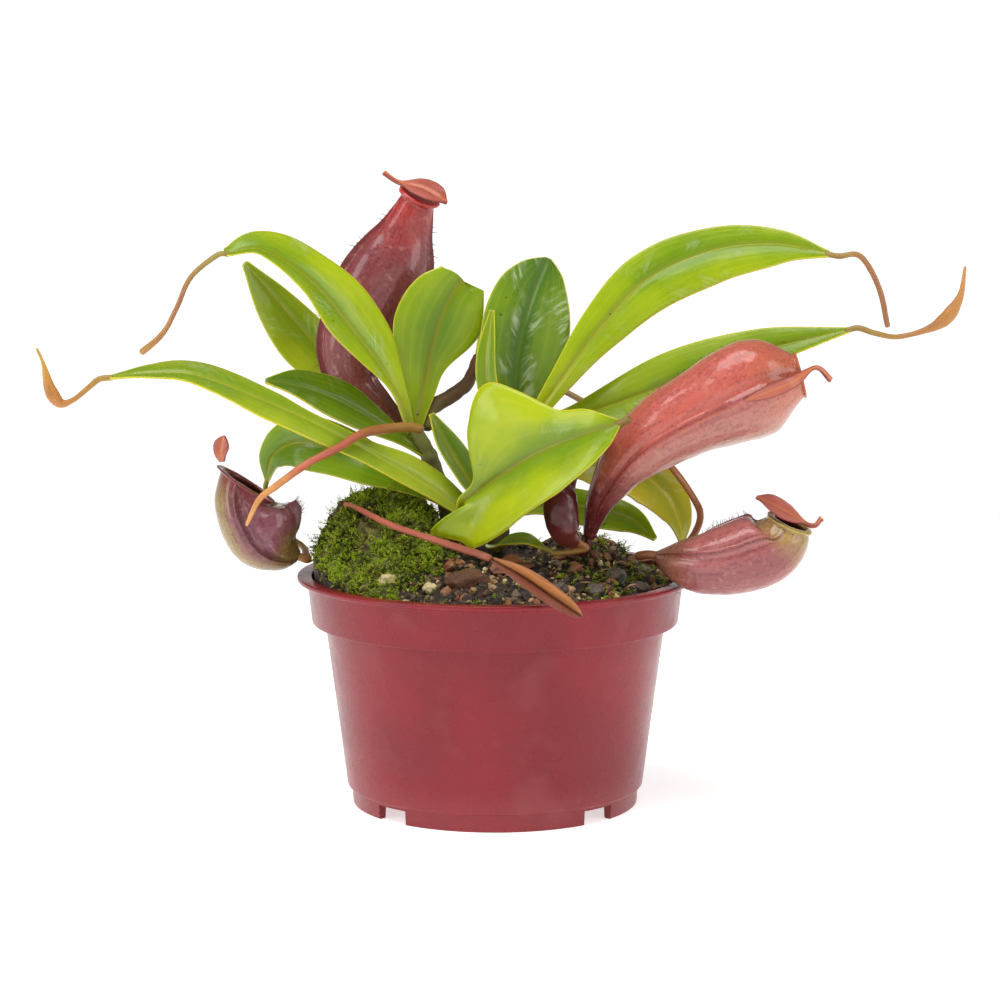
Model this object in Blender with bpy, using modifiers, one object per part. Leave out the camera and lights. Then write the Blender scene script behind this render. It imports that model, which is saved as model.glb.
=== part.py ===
"""A pitcher plant in its round nursery pot.

The tables are in millimetres, measured from the middle of the pot's underside, and the meshes in metres.
+Z is up, -Y is the plant's front and +X its right as seen from there. Last of all, every piece is moved so
that the origin lies under the middle of the whole plant, on the plane that the pot stands on.
"""

import math
from collections import namedtuple

import bmesh
import bpy
from mathutils import Vector, noise

MM = 0.001
GAP = 0.3  # between pieces that rest on each other
TIP_GAP = 0.45  # between a leaf's blunt tip and its tendril, measured along the tendril
PLANT_MIDDLE = (3.0, -2.6)  # the middle of the whole plant, seen from above

POT_HEIGHT = 74.0
COLLAR_RADIUS = 60.0  # at its top, outside: a 12 cm pot
COLLAR_HEIGHT = 15.0
COLLAR_STEP = 4.2
LIP_RADIUS = 63.3
LIP_THICKNESS = 1.4
BASE_RADIUS = 47.5
FOOT_HEIGHT = 6.0
FOOT_INSET = 1.4
WALL = 1.3
NOTCH_WIDTH = 12.0
NOTCH_HEIGHT = 4.6
NOTCH_COUNT = 4
DRAIN_RADIUS = 3.5
DRAIN_CIRCLE = 30.0
DRAIN_COUNT = 6
POT_SIDES = 40

SOIL_RIM_HEIGHT = 71.0
SOIL_CROWN = 9.0
SOIL_SIDES = 36
# Swells in the soil: middle, half width, half depth and height. The mound is at the left, its shoulder
# beside it and the rise behind the right pitchers.
MOUND = (-38.5, 4.0, 18.5, 26.0, 22.5)
SHOULDER = (-14.5, 5.0, 9.0, 22.0, 5.0)
RISE = (30.0, 8.0, 13.0, 14.0, 7.0)
MOSS_THICKNESS = 2.4

BLADE_EDGE = 0.7  # thickness of a leaf at its margin
BLADE_RIB = 1.1  # and at the outer end of its rib
PITCHER_WALL = 1.0
WING_ANGLE_HALF = 5.0  # degrees from a wing's crest to its foot on the body
STEM_RADIUS = 3.2

LEAF_GREEN = (0.30, 0.50, 0.02)
OLIVE_GREEN = (0.28, 0.33, 0.03)
STALK_BROWN = (0.33, 0.17, 0.05)
TENDRIL_RED = (0.42, 0.11, 0.05)
PITCHER_RED = (0.33, 0.05, 0.04)
PITCHER_MAROON = (0.13, 0.02, 0.02)
DRY_ORANGE = (0.55, 0.22, 0.04)

# A leaf, lid or dry husk: `midrib` runs from base to tip, `face` is the way its upper side looks at the
# base and at the tip, `left` and `right` are the half widths at even steps, seen on the upper side with
# the tip up. `lift` raises each half in degrees, `curl` bends its margin back, `wave` is the height and
# number of the margin's waves, `sweep` draws each margin back towards the base, `stalk` is the thickness
# at the base. Each of its `pulls` moves the blade about one place: the place along and across it, how far
# that is felt along and across, and the move.
Blade = namedtuple("Blade", "midrib face left right lift curl wave sweep stalk rows seat finish pulls")
Blade.__new__.__defaults__ = ((12, 12), (0.15, 0.15), (0.0, 1.0), (0.0, 0.0), 2.4, 12, "", "leaf", ())

# A stalk or tendril: radius at even steps, `after` and `before` name the leaf it grows from and the
# pitcher it feeds.
Stalk = namedtuple("Stalk", "points radii steps after before finish")
Stalk.__new__.__defaults__ = (10, "", "", "tendril")

# A pitcher: `axis` runs from its base to the middle of its mouth, `front` is the side between the wings,
# `widths` and `depths` are its half sizes across and from front to back, `slope` lowers the mouth's rim on
# the side that lies `lean` degrees from the front, `wings` is their angle from the front and their height.
Pitcher = namedtuple("Pitcher", "axis front widths depths slope wings lip floor finish lean")
Pitcher.__new__.__defaults__ = (0,)

STEMS = {
    "stem_main": Stalk([(1, 4, 72), (1, 5, 90), (3, 6, 106), (7, 5, 120), (10, 4, 127)], [3.4, 3.2, 2.8], 8),
    "stem_side": Stalk([(-12, 6, 76), (-16, 7, 95), (-20, 8, 108), (-26, 7, 120)], [2.8, 2.6, 2.4], 8),
}

LEAVES = {
    "leaf_upper_left": Blade(
        [(-27, 6, 119), (-33, 3, 135), (-45, 0, 152), (-58, -4, 168), (-73, -8, 178), (-84, -12, 177)],
        ((0.5, -0.8, 0.4), (0.0, -0.7, 0.7)),
        [2.0, 2.6, 8.0, 11.0, 8.0, 5.0, 1.5], [2.0, 5.0, 12.5, 14.0, 11.5, 9.5, 2.5],
        lift=(25, 5), curl=(0.0, 0.2), seat="stem_side", rows=14),
    "leaf_rear_left": Blade(
        [(-24.5, 10, 114), (-28, 23, 115.4), (-39, 37, 125.5), (-55, 42, 139), (-70, 41, 156), (-82, 37, 171)],
        ((0.3, -1.0, 0.2), (0.1, -0.9, 0.4)),
        [2, 2.6, 5, 9, 12, 9, 1.5], [2, 2.6, 4, 6, 7, 5, 1], curl=(0.0, 0.1), seat="stem_side"),
    "leaf_short_left": Blade(
        [(-23, 7, 112), (-40, 2, 124), (-52, -2, 131), (-62, -6, 135), (-72, -10, 137)],
        ((0.1, -0.7, 0.7), (0.2, -0.7, 0.7)),
        [1.5, 3, 6, 8, 8, 5, 1], [1.5, 3, 5.5, 8, 8, 6, 1], seat="stem_side", rows=10),
    "leaf_long_left": Blade(
        [(1, 3, 93), (-10, -3, 95), (-21, -7, 103), (-35, -11, 112), (-50, -15, 121), (-70, -19, 131),
         (-92, -23, 140), (-106, -26, 141), (-119, -28, 140)],
        ((0.2, -0.8, 0.6), (0.0, -0.4, 1.0)),
        [2, 3, 5, 6, 8, 9, 7, 4, 0.9], [2, 6, 7.5, 4, 3.5, 5.5, 7, 6, 0.9], seat="stem_main", rows=18),
    "leaf_low_left": Blade(
        [(0, 6, 88), (-11, 3, 94), (-24, -1, 102), (-40, 0, 110), (-54, 3, 114.5), (-65, 7, 115),
         (-72, 11, 110), (-74, 13, 102)],
        ((0.1, -0.8, 0.6), (-0.5, -0.8, 0.2)),
        [1.5, 2, 2.5, 5, 8, 9, 9, 6, 0.8], [1.5, 2, 2.5, 4, 6, 8, 9, 7, 0.8],
        seat="stem_main", rows=16),
    "leaf_notched": Blade(
        [(-25.5, 8, 120), (-22.5, 12, 134), (-20, 13, 146), (-16.5, 14, 157), (-10.5, 15, 168)],
        ((0.2, -1.0, 0.1), (0.1, -1.0, 0.1)),
        [2.2, 4, 8, 11.5, 13, 14.5, 14, 12, 9], [2, 3, 4, 5, 8, 12, 14, 12, 8],
        lift=(8, 8), sweep=(0.0, 0.5), seat="stem_side",
        pulls=((1.0, -0.5, 0.08, 0.4, (0.0, 0.0, -4.0)), (1.0, 0.9, 0.08, 0.3, (1.0, 0.0, -1.0)))),
    "leaf_upright": Blade(
        [(6, 9, 112), (6, 10, 126), (7, 11, 140), (9, 12, 151), (12, 13, 162), (17, 13, 174)],
        ((0.0, -1.0, 0.3), (0.0, -1.0, 0.3)),
        [2, 4, 8, 12, 13.5, 13.5, 11, 4], [2, 4, 10, 14.5, 15.5, 14.5, 11, 4], seat="stem_main", rows=14),
    "leaf_upright_young": Blade(
        [(4, 5, 109), (0, 1, 124), (-3, 2, 140), (-1, 5, 158)],
        ((-0.3, -1.0, 0.1), (-0.3, -1.0, 0.1)),
        [1.5, 2.5, 3.5, 3, 0.8], [1.5, 2.5, 3.5, 3, 0.8], seat="stem_main", rows=8),
    "leaf_front": Blade(
        [(1, 5, 86), (-4, -3, 90.5), (-9, -10, 95), (-10, -15, 99), (-4, -19, 104), (3, -23, 109.5),
         (10, -27, 114.5), (18, -31, 119), (26, -35, 122.5), (32.5, -38, 125), (38, -39, 127)],
        ((0.1, -1.0, 0.4), (0.1, -1.0, 0.4)),
        [1.8, 1.8, 1.8, 2, 4.5, 18, 24, 20.5, 13.5, 8, 1], [1.8, 1.8, 1.8, 2.5, 8, 12, 18, 21, 19, 13, 1],
        lift=(10, 20), sweep=(0.3, 3.8), seat="stem_main", rows=20,
        pulls=((0.4, -1.0, 0.06, 0.5, (-6.0, 0.0, 2.0)), (0.6, 1.0, 0.08, 0.5, (0.0, 0.0, 4.0)),
               (0.8, 1.0, 0.08, 0.5, (0.0, 0.0, -3.0)))),
    "leaf_upper_right": Blade(
        [(11.5, 5, 122), (22.5, 4, 138), (34, 6, 153), (49, 8, 168), (70, 9, 177), (90, 7, 179), (106, 4, 176)],
        ((-0.4, -0.9, 0.4), (0.0, -0.8, 0.6)),
        [2, 4.5, 7.5, 9, 8, 5.5, 1], [2, 4.5, 8, 11, 11, 8, 1],
        lift=(20, 5), curl=(0.1, 0.3), seat="stem_main", rows=18),
    "leaf_long_right": Blade(
        [(7, 5, 117), (16, 9, 121), (30, 8, 125), (46, 4, 131), (65, 0, 139), (84, -4, 146), (99, -8, 150),
         (111, -10, 153)],
        ((-0.1, -0.9, 0.5), (0.0, -0.9, 0.5)),
        [1.8, 3, 7, 10, 10, 8, 5, 0.9], [1.8, 3, 7, 9.5, 9.5, 8, 4, 0.9],
        seat="stem_main", rows=18),
    "leaf_low_right": Blade(
        [(4, 7, 102), (13, 14, 104), (28, 22, 107), (44, 18, 106), (54, 10, 99), (59, 4, 91), (60, 0, 84)],
        ((0.0, -0.6, 0.8), (0.5, -0.8, 0.2)),
        [1.6, 2.5, 6, 8, 8, 7, 1], [1.6, 2.5, 7, 12, 12, 9, 1], seat="stem_main", finish="olive"),
    "leaf_low_rear": Blade(
        [(2, 6, 90), (8, 13, 92), (21, 25, 93), (34, 27, 91), (45, 21, 88), (52, 15, 83)],
        ((0.0, -0.6, 0.8), (0.3, -0.8, 0.4)),
        [1.5, 2.5, 6, 6, 5, 0.9], [1.5, 2.5, 7, 8, 7, 0.9], seat="stem_main", rows=10),
    "leaf_rear": Blade(
        [(-5, 30, 142), (3, 40, 146), (13, 46, 141), (19, 45, 131)],
        ((0.3, 0.3, 1.0), (0.8, 0.5, 0.5)),
        [2, 6, 9, 8, 5, 1], [2, 6, 9, 8, 5, 1], rows=10),
    "leaf_strap": Blade(
        [(1, 3, 99), (-6, -3, 102), (-11, -4, 109), (-16, -5, 117), (-20, -6, 126)],
        ((0.3, -0.9, 0.5), (0.3, -0.9, 0.5)),
        [1.5, 3, 3.5, 3, 0.9], [1.5, 4.5, 5.5, 4.5, 0.9], seat="stem_main", rows=8),
    "leaf_basal": Blade(
        [(1, 4, 82), (0, -6, 84), (4, -14, 87), (10, -20, 88), (15, -22, 86)],
        ((0.0, -0.6, 0.8), (0.0, -0.6, 0.8)),
        [1.5, 3, 3.5, 3, 0.9], [1.5, 3, 3.5, 3, 0.9], seat="stem_main", rows=8),
}

STALKS = {
    "stalk_old": Stalk([(-22.5, 11.2, 119), (-21, 14.5, 125), (-15, 18.5, 128.5), (-9, 23, 133), (-5, 29, 141)],
                       [2.3, 2.4, 2.2, 2.0], 8),
    "tendril_bare": Stalk(
        [(-23, 2, 120), (-28, 0, 121), (-35, -5, 121), (-42, -14, 120.5), (-49, -22, 117), (-58, -28, 113),
         (-68, -30, 106), (-73, -31, 102), (-77, -32, 94)],
        [1.6, 1.6, 1.3, 1.2, 1.1, 0.6], 16),
    "tendril_upper_left": Stalk(
        [(-95, -13, 169.5), (-99.5, -13, 160), (-104, -13, 152), (-111, -13, 145.8)],
        [0.9, 0.8, 0.8, 1.1], 10, "leaf_upper_left"),
    "tendril_long_left": Stalk(
        [(-125, -29, 137), (-130, -30, 133), (-134, -30, 132), (-137, -30, 136), (-139, -30, 144),
         (-141, -30, 149)],
        [0.9, 0.9, 0.8, 0.9, 2.0, 1.5, 0.6, 0.4], 14, "leaf_long_left"),
    "tendril_front": Stalk(
        [(34, -30, 122), (27, -13, 113), (24, -7, 102), (24, -6, 92), (24.5, -8, 86), (27.5, -13, 82.5), (28.8, -16, 84)],
        [0.9, 1.2, 1.4, 1.4, 1.4], 16, "leaf_front", "pitcher_right"),
    "tendril_upper_right": Stalk(
        [(116, 4, 175), (122, 4, 165), (125, 4, 152.5)], [0.9, 0.9, 0.9], 8, "leaf_upper_right"),
    "tendril_long_right": Stalk(
        [(119, -11, 152), (127, -12, 151), (139, -12, 155), (145.2, -12, 163), (146.9, -12, 173)],
        [0.9, 0.9, 0.8, 1.0, 2.2, 1.0, 0.4], 14, "leaf_long_right"),
    "tendril_low_left": Stalk(
        [(-73, 14, 92), (-68, 12, 85), (-62, 7, 81.4), (-60.6, -0.6, 80.4)], [0.8, 1.0, 1.3],
        16, "leaf_low_left", "pitcher_left"),
    "tendril_rear": Stalk(
        [(23, 42, 128), (31, 36, 124), (47, 20, 114), (56, 5, 108), (63, -4, 99), (65, -9, 93),
         (61, -9, 85), (53, -11.5, 82), (46, -15, 82), (45.5, -19, 82.7)],
        [0.9, 1.1, 1.1, 1.1, 1.2, 1.4], 18, "leaf_rear", "pitcher_low_right"),
    "tendril_young": Stalk([(19, -23, 84)], [0.8, 0.9, 1.2], 4, "leaf_basal", "pitcher_young"),
    "tendril_dry": Stalk(
        [(-48, -8, 97.5), (-44, -9, 96.5), (-33, -22, 93), (-17, -38, 90), (-5, -50, 88), (-1, -53, 87)],
        [0.8, 1.0, 1.0, 1.1, 1.2], 14, finish="tendril_red"),
}

PITCHERS = {
    "pitcher_top": Pitcher(
        [(-27, 14, 117), (-38, 18.6, 126), (-46, 24, 133), (-47, 28, 144), (-39.5, 30, 159), (-32.5, 30, 173),
         (-27, 30, 187), (-25, 30, 192)],
        (0.2, -1.0, 0.1), [2.0, 3.6, 6, 9.5, 12.5, 14, 13, 8.5, 5.5], [2.0, 3.4, 5, 8, 10, 10, 9, 6, 5],
        0.3, (80, 1.6), 1.6, 0.45, "pitcher"),
    "pitcher_right": Pitcher(
        [(29.5, -17, 88), (31, -18, 94), (34, -20, 102), (42, -23, 114), (54, -25, 124), (70, -25, 132),
         (83, -25, 137), (94, -25, 140)],
        (-0.2, -0.5, 0.85), [1.8, 4.2, 7, 9.5, 11.5, 12.5, 13.8, 12.8, 6], [1.8, 4, 6.6, 9.6, 11.6, 13, 15.5, 16, 7.4],
        0.0, (62, 1.4), 0.7, 0.35, "pitcher"),
    "pitcher_left": Pitcher(
        [(-62.5, -6, 80.3), (-67, -6, 82), (-72, -6, 86.5), (-76, -6, 92.5), (-78.5, -6, 98.5), (-79, -6, 103)],
        (0.5, -0.8, 0.3), [1.8, 8.5, 12, 12, 10.2, 7.5], [1.8, 8.2, 11.5, 11.8, 10, 7.5],
        0.8, (50, 2.2), 0.9, 0.3, "pitcher", 55),
    "pitcher_low_right": Pitcher(
        [(51, -23, 83), (58, -27, 82), (67, -30, 82), (79, -30, 85), (87, -30, 89), (91, -30, 94)],
        (0.1, -0.3, 1.0), [2, 7, 9.3, 10.5, 10.8, 10, 6.5], [2, 7, 9.3, 11, 11.8, 11, 6.5],
        0.3, (50, 1.4), 0.9, 0.3, "pitcher"),
}

YOUNG_PITCHER = Stalk([(26, -22, 87), (22.5, -23, 90), (20.5, -23, 97), (20.5, -21, 108)],
                      [1.6, 4.8, 5.4, 5.2, 1.2], 8, finish="maroon")

LIDS = {
    "lid_top": Blade([(-36, 30, 201), (-31, 29, 197.8), (-23, 26.5, 195.8), (-15.5, 23, 191.5)],
                     ((0.3, -0.5, 0.85), (0.35, -0.6, 0.7)),
                     [0.8, 0.8, 4.8, 5.2, 1.5], [0.8, 0.8, 4.8, 5.2, 1.5], stalk=1.3, rows=8, finish="pitcher"),
    "lid_right": Blade([(104, -28, 139), (99, -29, 143), (90, -39, 139), (76, -42, 134)],
                       ((0.3, -0.8, 0.5), (0.0, -0.9, -0.3)),
                       [0.8, 0.7, 1.8, 2.2, 1], [0.8, 0.7, 1.8, 2.2, 1], stalk=1.3, rows=8, finish="pitcher"),
    "lid_left": Blade([(-86.6, -6, 110.6), (-87, -6, 114), (-86, -6, 119)],
                      ((-0.3, -1.0, 0.1), (-0.3, -1.0, 0.1)),
                      [0.8, 2.2, 2.6, 0.8], [0.8, 2.2, 2.6, 0.8], stalk=1.2, rows=6, finish="pitcher"),
    "lid_low_right": Blade([(101.5, -28, 96), (98.5, -29, 94), (91, -31, 98), (81, -33, 103.5)],
                           ((0.3, -0.4, 0.9), (0.3, -0.4, 0.9)),
                           [0.8, 0.7, 5.2, 5.8, 1.5], [0.8, 0.7, 5.2, 5.8, 1.5], stalk=1.3, rows=8,
                           finish="pitcher"),
}

DRY_PITCHER = Blade([(-0.6, -53.4, 86.8), (8, -60, 83), (18, -65, 77), (26, -68, 72)],
                    ((0.2, -0.9, 0.1), (0.2, -0.9, 0.1)),
                    [1.2, 3.4, 4.6, 3.4, 0.8], [1.2, 3.4, 4.6, 3.4, 0.8],
                    lift=(50, 50), curl=(0.2, 0.2), stalk=1.6, rows=10, finish="dry")

DEAD_LEAF = Blade([(-1, -29, 79.3), (5, -26, 81.3), (12, -22, 80.3)],
                  ((0.2, -0.6, 1.0), (0.0, -0.4, 1.0)),
                  [1.5, 4, 4, 1], [1.5, 4, 4, 1], wave=(0.8, 2.0), stalk=1.2, rows=6, finish="dry")

# Loose pieces half sunk in the soil: place, length and width and height, turn in degrees, finish.
GRIT = {
    "perlite_large": ((-33, -35), (6.4, 5.8, 5.4), 20, "perlite"),
    "perlite_small": ((-20, -41), (4.4, 4.0, 3.8), 0, "perlite"),
    "bark_chunk": ((-9, -37), (14, 8, 8), 25, "bark"),
    "stone_1": ((38, -20), (8, 6, 6), 60, "stone"),
    "stone_2": ((45, -27), (7, 6, 5), 10, "stone"),
    "stone_3": ((31, -37), (7, 5, 5), 120, "stone"),
    "stone_4": ((20, -40), (6, 5, 5), 75, "stone"),
}

# The moss mat covers these bands of the soil's facets: inner and outer share of the soil's radius, and
# first and last angle in degrees.
MOSS_BANDS = [
    (0.32, 0.48, 160, 240),
    (0.48, 0.62, 150, 240),
    (0.62, 0.76, 150, 230),
    (0.76, 0.88, 150, 220),
    (0.88, 0.95, 150, 220),
    (0.95, 1.00, 160, 180),
]
SOIL_RADIUS = COLLAR_RADIUS - WALL - GAP - 0.4
SOIL_RINGS = [0.0, 0.16, 0.32, 0.48, 0.62, 0.76, 0.88, 0.95, 1.0]


def new_collection(name):
    collection = bpy.data.collections.new(name)
    bpy.context.scene.collection.children.link(collection)
    return collection


def material(name, colour, roughness):
    """A plain finish with its own Principled BSDF."""
    finish = bpy.data.materials.new(name)
    finish.use_nodes = True
    shader = finish.node_tree.nodes["Principled BSDF"]
    shader.inputs["Base Color"].default_value = (*colour, 1.0)
    shader.inputs["Roughness"].default_value = roughness
    return finish


def add_object(name, data, finish, collection):
    piece = bpy.data.objects.new(name, data)
    data.materials.append(finish)
    collection.objects.link(piece)
    return piece


def curve_value(values, where):
    """The value at `where` (0 to 1) on a smooth curve through evenly spaced numbers or vectors."""
    last = len(values) - 1
    place = min(max(where, 0.0), 1.0) * last
    i = min(int(place), last - 1)
    f = place - i
    a, b = values[i], values[i + 1]
    before = values[i - 1] if i > 0 else 2 * a - b
    after = values[i + 2] if i + 2 <= last else 2 * b - a
    square = 2 * before - 5 * a + 4 * b - after
    cube = 3 * a - before - 3 * b + after
    return 0.5 * (2 * a + (b - before) * f + square * f**2 + cube * f**3)


def even_path(points, steps):
    """Points at equal distances along the smooth curve through `points`."""
    corners = [Vector(point) for point in points]
    fine_steps = steps * 10
    fine = [curve_value(corners, i / fine_steps) for i in range(fine_steps + 1)]
    reached = [0.0]
    for here, there in zip(fine, fine[1:]):
        reached.append(reached[-1] + (there - here).length)
    path = []
    i = 0
    for step in range(steps + 1):
        wanted = reached[-1] * step / steps
        while i < fine_steps - 1 and reached[i + 1] < wanted:
            i += 1
        f = (wanted - reached[i]) / (reached[i + 1] - reached[i])
        path.append(fine[i].lerp(fine[i + 1], f))
    return path


def heading(path, i):
    """The direction of the path at its point i."""
    return (path[min(i + 1, len(path) - 1)] - path[max(i - 1, 0)]).normalized()


def square_to(direction, heading_there):
    """The part of a direction that is square to the heading, at unit length."""
    return (direction - heading_there * direction.dot(heading_there)).normalized()


def blade_point(blade, path, row, u):
    """A point of a blade's upper side; u is 1 at the left margin, 0 at the rib and -1 at the right."""
    t = row / (len(path) - 1)
    along = heading(path, row)
    up = square_to(Vector(blade.face[0]).lerp(Vector(blade.face[1]), t), along)
    left = up.cross(along)
    side = 0 if u >= 0 else 1
    reach = abs(u) * max(curve_value((blade.left, blade.right)[side], t), 0.6)
    lift = math.radians(blade.lift[side])
    height, count = blade.wave
    ripple = height * u * u * math.sin(math.pi * t) * math.sin(math.tau * count * t + side * 2.0)
    rise = reach * (math.sin(lift) - blade.curl[side] * abs(u)) + ripple
    aside = math.copysign(reach * math.cos(lift), u)
    back = blade.sweep[side] * reach * min(1.0, reach / 8.0) * (1.0 - t)
    point = path[row] + left * aside + up * rise - along * back
    for place, across, long_reach, wide_reach, move in blade.pulls:
        felt = math.exp(-(((t - place) / long_reach) ** 2) - ((u - across) / wide_reach) ** 2)
        point += Vector(move) * felt
    return point


def blade_object(name, blade, finish, collection, columns=6):
    """A leaf as an open triangulated surface, thickened downwards, thickest along its rib."""
    path = even_path(blade.midrib, blade.rows)
    half = columns // 2
    mesh_work = bmesh.new()
    thickness_layer = mesh_work.verts.layers.deform.verify()
    grid = []
    for row in range(blade.rows + 1):
        t = row / blade.rows
        rib = blade.stalk + (BLADE_RIB - blade.stalk) * min(1.0, 1.6 * t)
        line = []
        for column in range(-half, half + 1):
            u = column / half
            vertex = mesh_work.verts.new(blade_point(blade, path, row, u) * MM)
            thick = BLADE_EDGE + (rib - BLADE_EDGE) * (1.0 - abs(u)) ** 2
            vertex[thickness_layer][0] = (thick - BLADE_EDGE) / (blade.stalk - BLADE_EDGE)
            line.append(vertex)
        grid.append(line)
    for near, far in zip(grid, grid[1:]):
        for k in range(columns):
            corners = (near[k], far[k], far[k + 1], near[k + 1])
            first = 0 if k < half else 1
            for shift in (0, 2):
                turned = [corners[(first + shift + step) % 4] for step in range(3)]
                mesh_work.faces.new(turned)
    mesh = bpy.data.meshes.new(name)
    mesh_work.to_mesh(mesh)
    mesh_work.free()
    mesh.shade_smooth()
    leaf = add_object(name, mesh, finish, collection)
    leaf.vertex_groups.new(name="thickness")
    solid = leaf.modifiers.new("thickness", "SOLIDIFY")
    solid.thickness = blade.stalk * MM
    solid.vertex_group = "thickness"
    solid.thickness_vertex_group = BLADE_EDGE / blade.stalk
    solid.offset = -1.0
    return leaf


def blade_tip(blade):
    """The middle of a blade's blunt tip, and the way it points."""
    path = even_path(blade.midrib, blade.rows)
    along = heading(path, blade.rows)
    up = square_to(Vector(blade.face[1]), along)
    return path[-1] - up * BLADE_RIB / 2, along


def stalk_path(stalk):
    """The stalk's even path, starting at its leaf's tip and ending at its pitcher's base."""
    points = [Vector(point) for point in stalk.points]
    if stalk.after:
        tip, along = blade_tip(LEAVES[stalk.after])
        points = [tip + along * TIP_GAP, tip + along * 3.0] + points
    if stalk.before:
        base, along = pitcher_base(stalk.before)
        points += [base - along * 3.0, base - along * GAP]
    return even_path(points, stalk.steps)


def stalk_object(name, stalk, finish, collection, extra=0.0):
    """A round stalk as a bevelled curve; `extra` widens it, for a cutter."""
    path = stalk_path(stalk)
    curve = bpy.data.curves.new(name, "CURVE")
    curve.dimensions = "3D"
    curve.bevel_depth = MM
    curve.bevel_resolution = 1 if max(stalk.radii) < 2.2 else 2
    curve.use_fill_caps = True
    spline = curve.splines.new("POLY")
    spline.points.add(len(path) - 1)
    for i, (point, place) in enumerate(zip(spline.points, path)):
        point.co = (*(place * MM), 1.0)
        point.radius = curve_value(stalk.radii, i / (len(path) - 1)) + extra
    return add_object(name, curve, finish, collection)


def baked(piece):
    """The same object as a plain welded mesh, with its modifiers or its bevel applied."""
    name = piece.name
    bpy.context.view_layer.update()
    evaluated = piece.evaluated_get(bpy.context.evaluated_depsgraph_get())
    mesh = bpy.data.meshes.new_from_object(evaluated)
    weld = bmesh.new()
    weld.from_mesh(mesh)
    bmesh.ops.remove_doubles(weld, verts=weld.verts, dist=0.00002)
    weld.to_mesh(mesh)
    weld.free()
    collection = piece.users_collection[0]
    place = piece.matrix_world.copy()
    bpy.data.objects.remove(piece)
    solid = bpy.data.objects.new(name, mesh)
    solid.matrix_world = place
    collection.objects.link(solid)
    return solid


def hide_as_cutter(piece):
    piece.hide_render = True
    piece.display_type = "WIRE"


def cut(piece, cutter, operation="DIFFERENCE"):
    boolean = piece.modifiers.new(operation.lower(), "BOOLEAN")
    boolean.operation = operation
    boolean.object = cutter


def pitcher_base(name):
    """Where a pitcher's base starts, and the way it leaves."""
    if name == "pitcher_young":
        path = stalk_path(YOUNG_PITCHER)
    else:
        path = even_path(PITCHERS[name].axis, 12)
    return path[0], heading(path, 0)


def ring_angles(wing_angle, count=14):
    """Angles round a pitcher from its front, with 1 at the two wings' crests and 0 elsewhere."""
    angles = []
    for k in range(count):
        angle = 360.0 * k / count
        away = min(abs(angle - wing_angle), abs(angle - (360.0 - wing_angle)))
        if away > 2.0 * WING_ANGLE_HALF:
            angles.append((angle, 0))
    for crest in (wing_angle, 360.0 - wing_angle):
        angles += [(crest - WING_ANGLE_HALF, 0), (crest, 1), (crest + WING_ANGLE_HALF, 0)]
    return sorted(angles)


def pitcher_ring(pitcher, path, row, inset, lift=0.0):
    """One ring of a pitcher's wall, `inset` inside its outer face and lifted along its axis."""
    t = row / (len(path) - 1)
    along = heading(path, row)
    front = square_to(Vector(pitcher.front), along)
    side = along.cross(front)
    width = max(curve_value(pitcher.widths, t) - inset, 0.5)
    depth = max(curve_value(pitcher.depths, t) - inset, 0.5)
    slope = pitcher.slope * max(0.0, (t - 0.6) / 0.4)
    wing_angle, wing_height = pitcher.wings
    crest = wing_height * min(1.0, 4.0 * t, 6.0 * (1.0 - t)) if inset == 0.0 else 0.0
    ring = []
    for angle, on_wing in ring_angles(wing_angle):
        turn = math.radians(angle)
        out = front * math.cos(turn) * depth + side * math.sin(turn) * width
        out += out.normalized() * crest * on_wing
        lowered = slope * math.cos(turn - math.radians(pitcher.lean)) * depth
        ring.append(path[row] + out + along * (lift - lowered))
    return ring


def pitcher_object(name, pitcher, finish, collection, rows=12):
    """A hollow pitcher: its outer face from base to mouth, a rolled lip, and its inner face down again."""
    path = even_path(pitcher.axis, rows)
    rings = [pitcher_ring(pitcher, path, row, 0.0) for row in range(rows + 1)]
    lip = pitcher.lip
    rings.append(pitcher_ring(pitcher, path, rows, -lip, 0.4 * lip))
    rings.append(pitcher_ring(pitcher, path, rows, -0.6 * lip, 1.3 * lip))
    rings.append(pitcher_ring(pitcher, path, rows, PITCHER_WALL, 0.8 * lip))
    floor_row = round(pitcher.floor * rows)
    inner_rows = list(range(rows - 1, floor_row, -2))
    rings += [pitcher_ring(pitcher, path, row, PITCHER_WALL) for row in inner_rows]
    return loft_object(name, rings, path[0], path[floor_row], finish, collection)


def loft_object(name, rings, start, end, finish, collection):
    """A closed skin through rings of equal count, closed by a point at each end."""
    mesh_work = bmesh.new()
    skin = [[mesh_work.verts.new(point * MM) for point in ring] for ring in rings]
    count = len(skin[0])
    first = mesh_work.verts.new(start * MM)
    last = mesh_work.verts.new(end * MM)
    for k in range(count):
        following = (k + 1) % count
        mesh_work.faces.new((first, skin[0][following], skin[0][k]))
        mesh_work.faces.new((last, skin[-1][k], skin[-1][following]))
        for low, high in zip(skin, skin[1:]):
            mesh_work.faces.new((low[k], low[following], high[following]))
            mesh_work.faces.new((low[k], high[following], high[k]))
    mesh = bpy.data.meshes.new(name)
    mesh_work.to_mesh(mesh)
    mesh_work.free()
    mesh.shade_smooth()
    return add_object(name, mesh, finish, collection)


def turned_object(name, profile, sides, finish, collection):
    """A turned solid from a profile of (radius, height) that runs down its outer side."""
    mesh = bpy.data.meshes.new(name)
    vertices = [(radius * MM, 0.0, height * MM) for radius, height in profile]
    edges = [(i, i + 1) for i in range(len(profile) - 1)]
    mesh.from_pydata(vertices, edges, [])
    turned = add_object(name, mesh, finish, collection)
    screw = turned.modifiers.new("turn", "SCREW")
    screw.steps = sides
    screw.render_steps = sides
    screw.use_merge_vertices = True
    screw.merge_threshold = 0.00005
    screw.use_smooth_shade = True
    return turned


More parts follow.
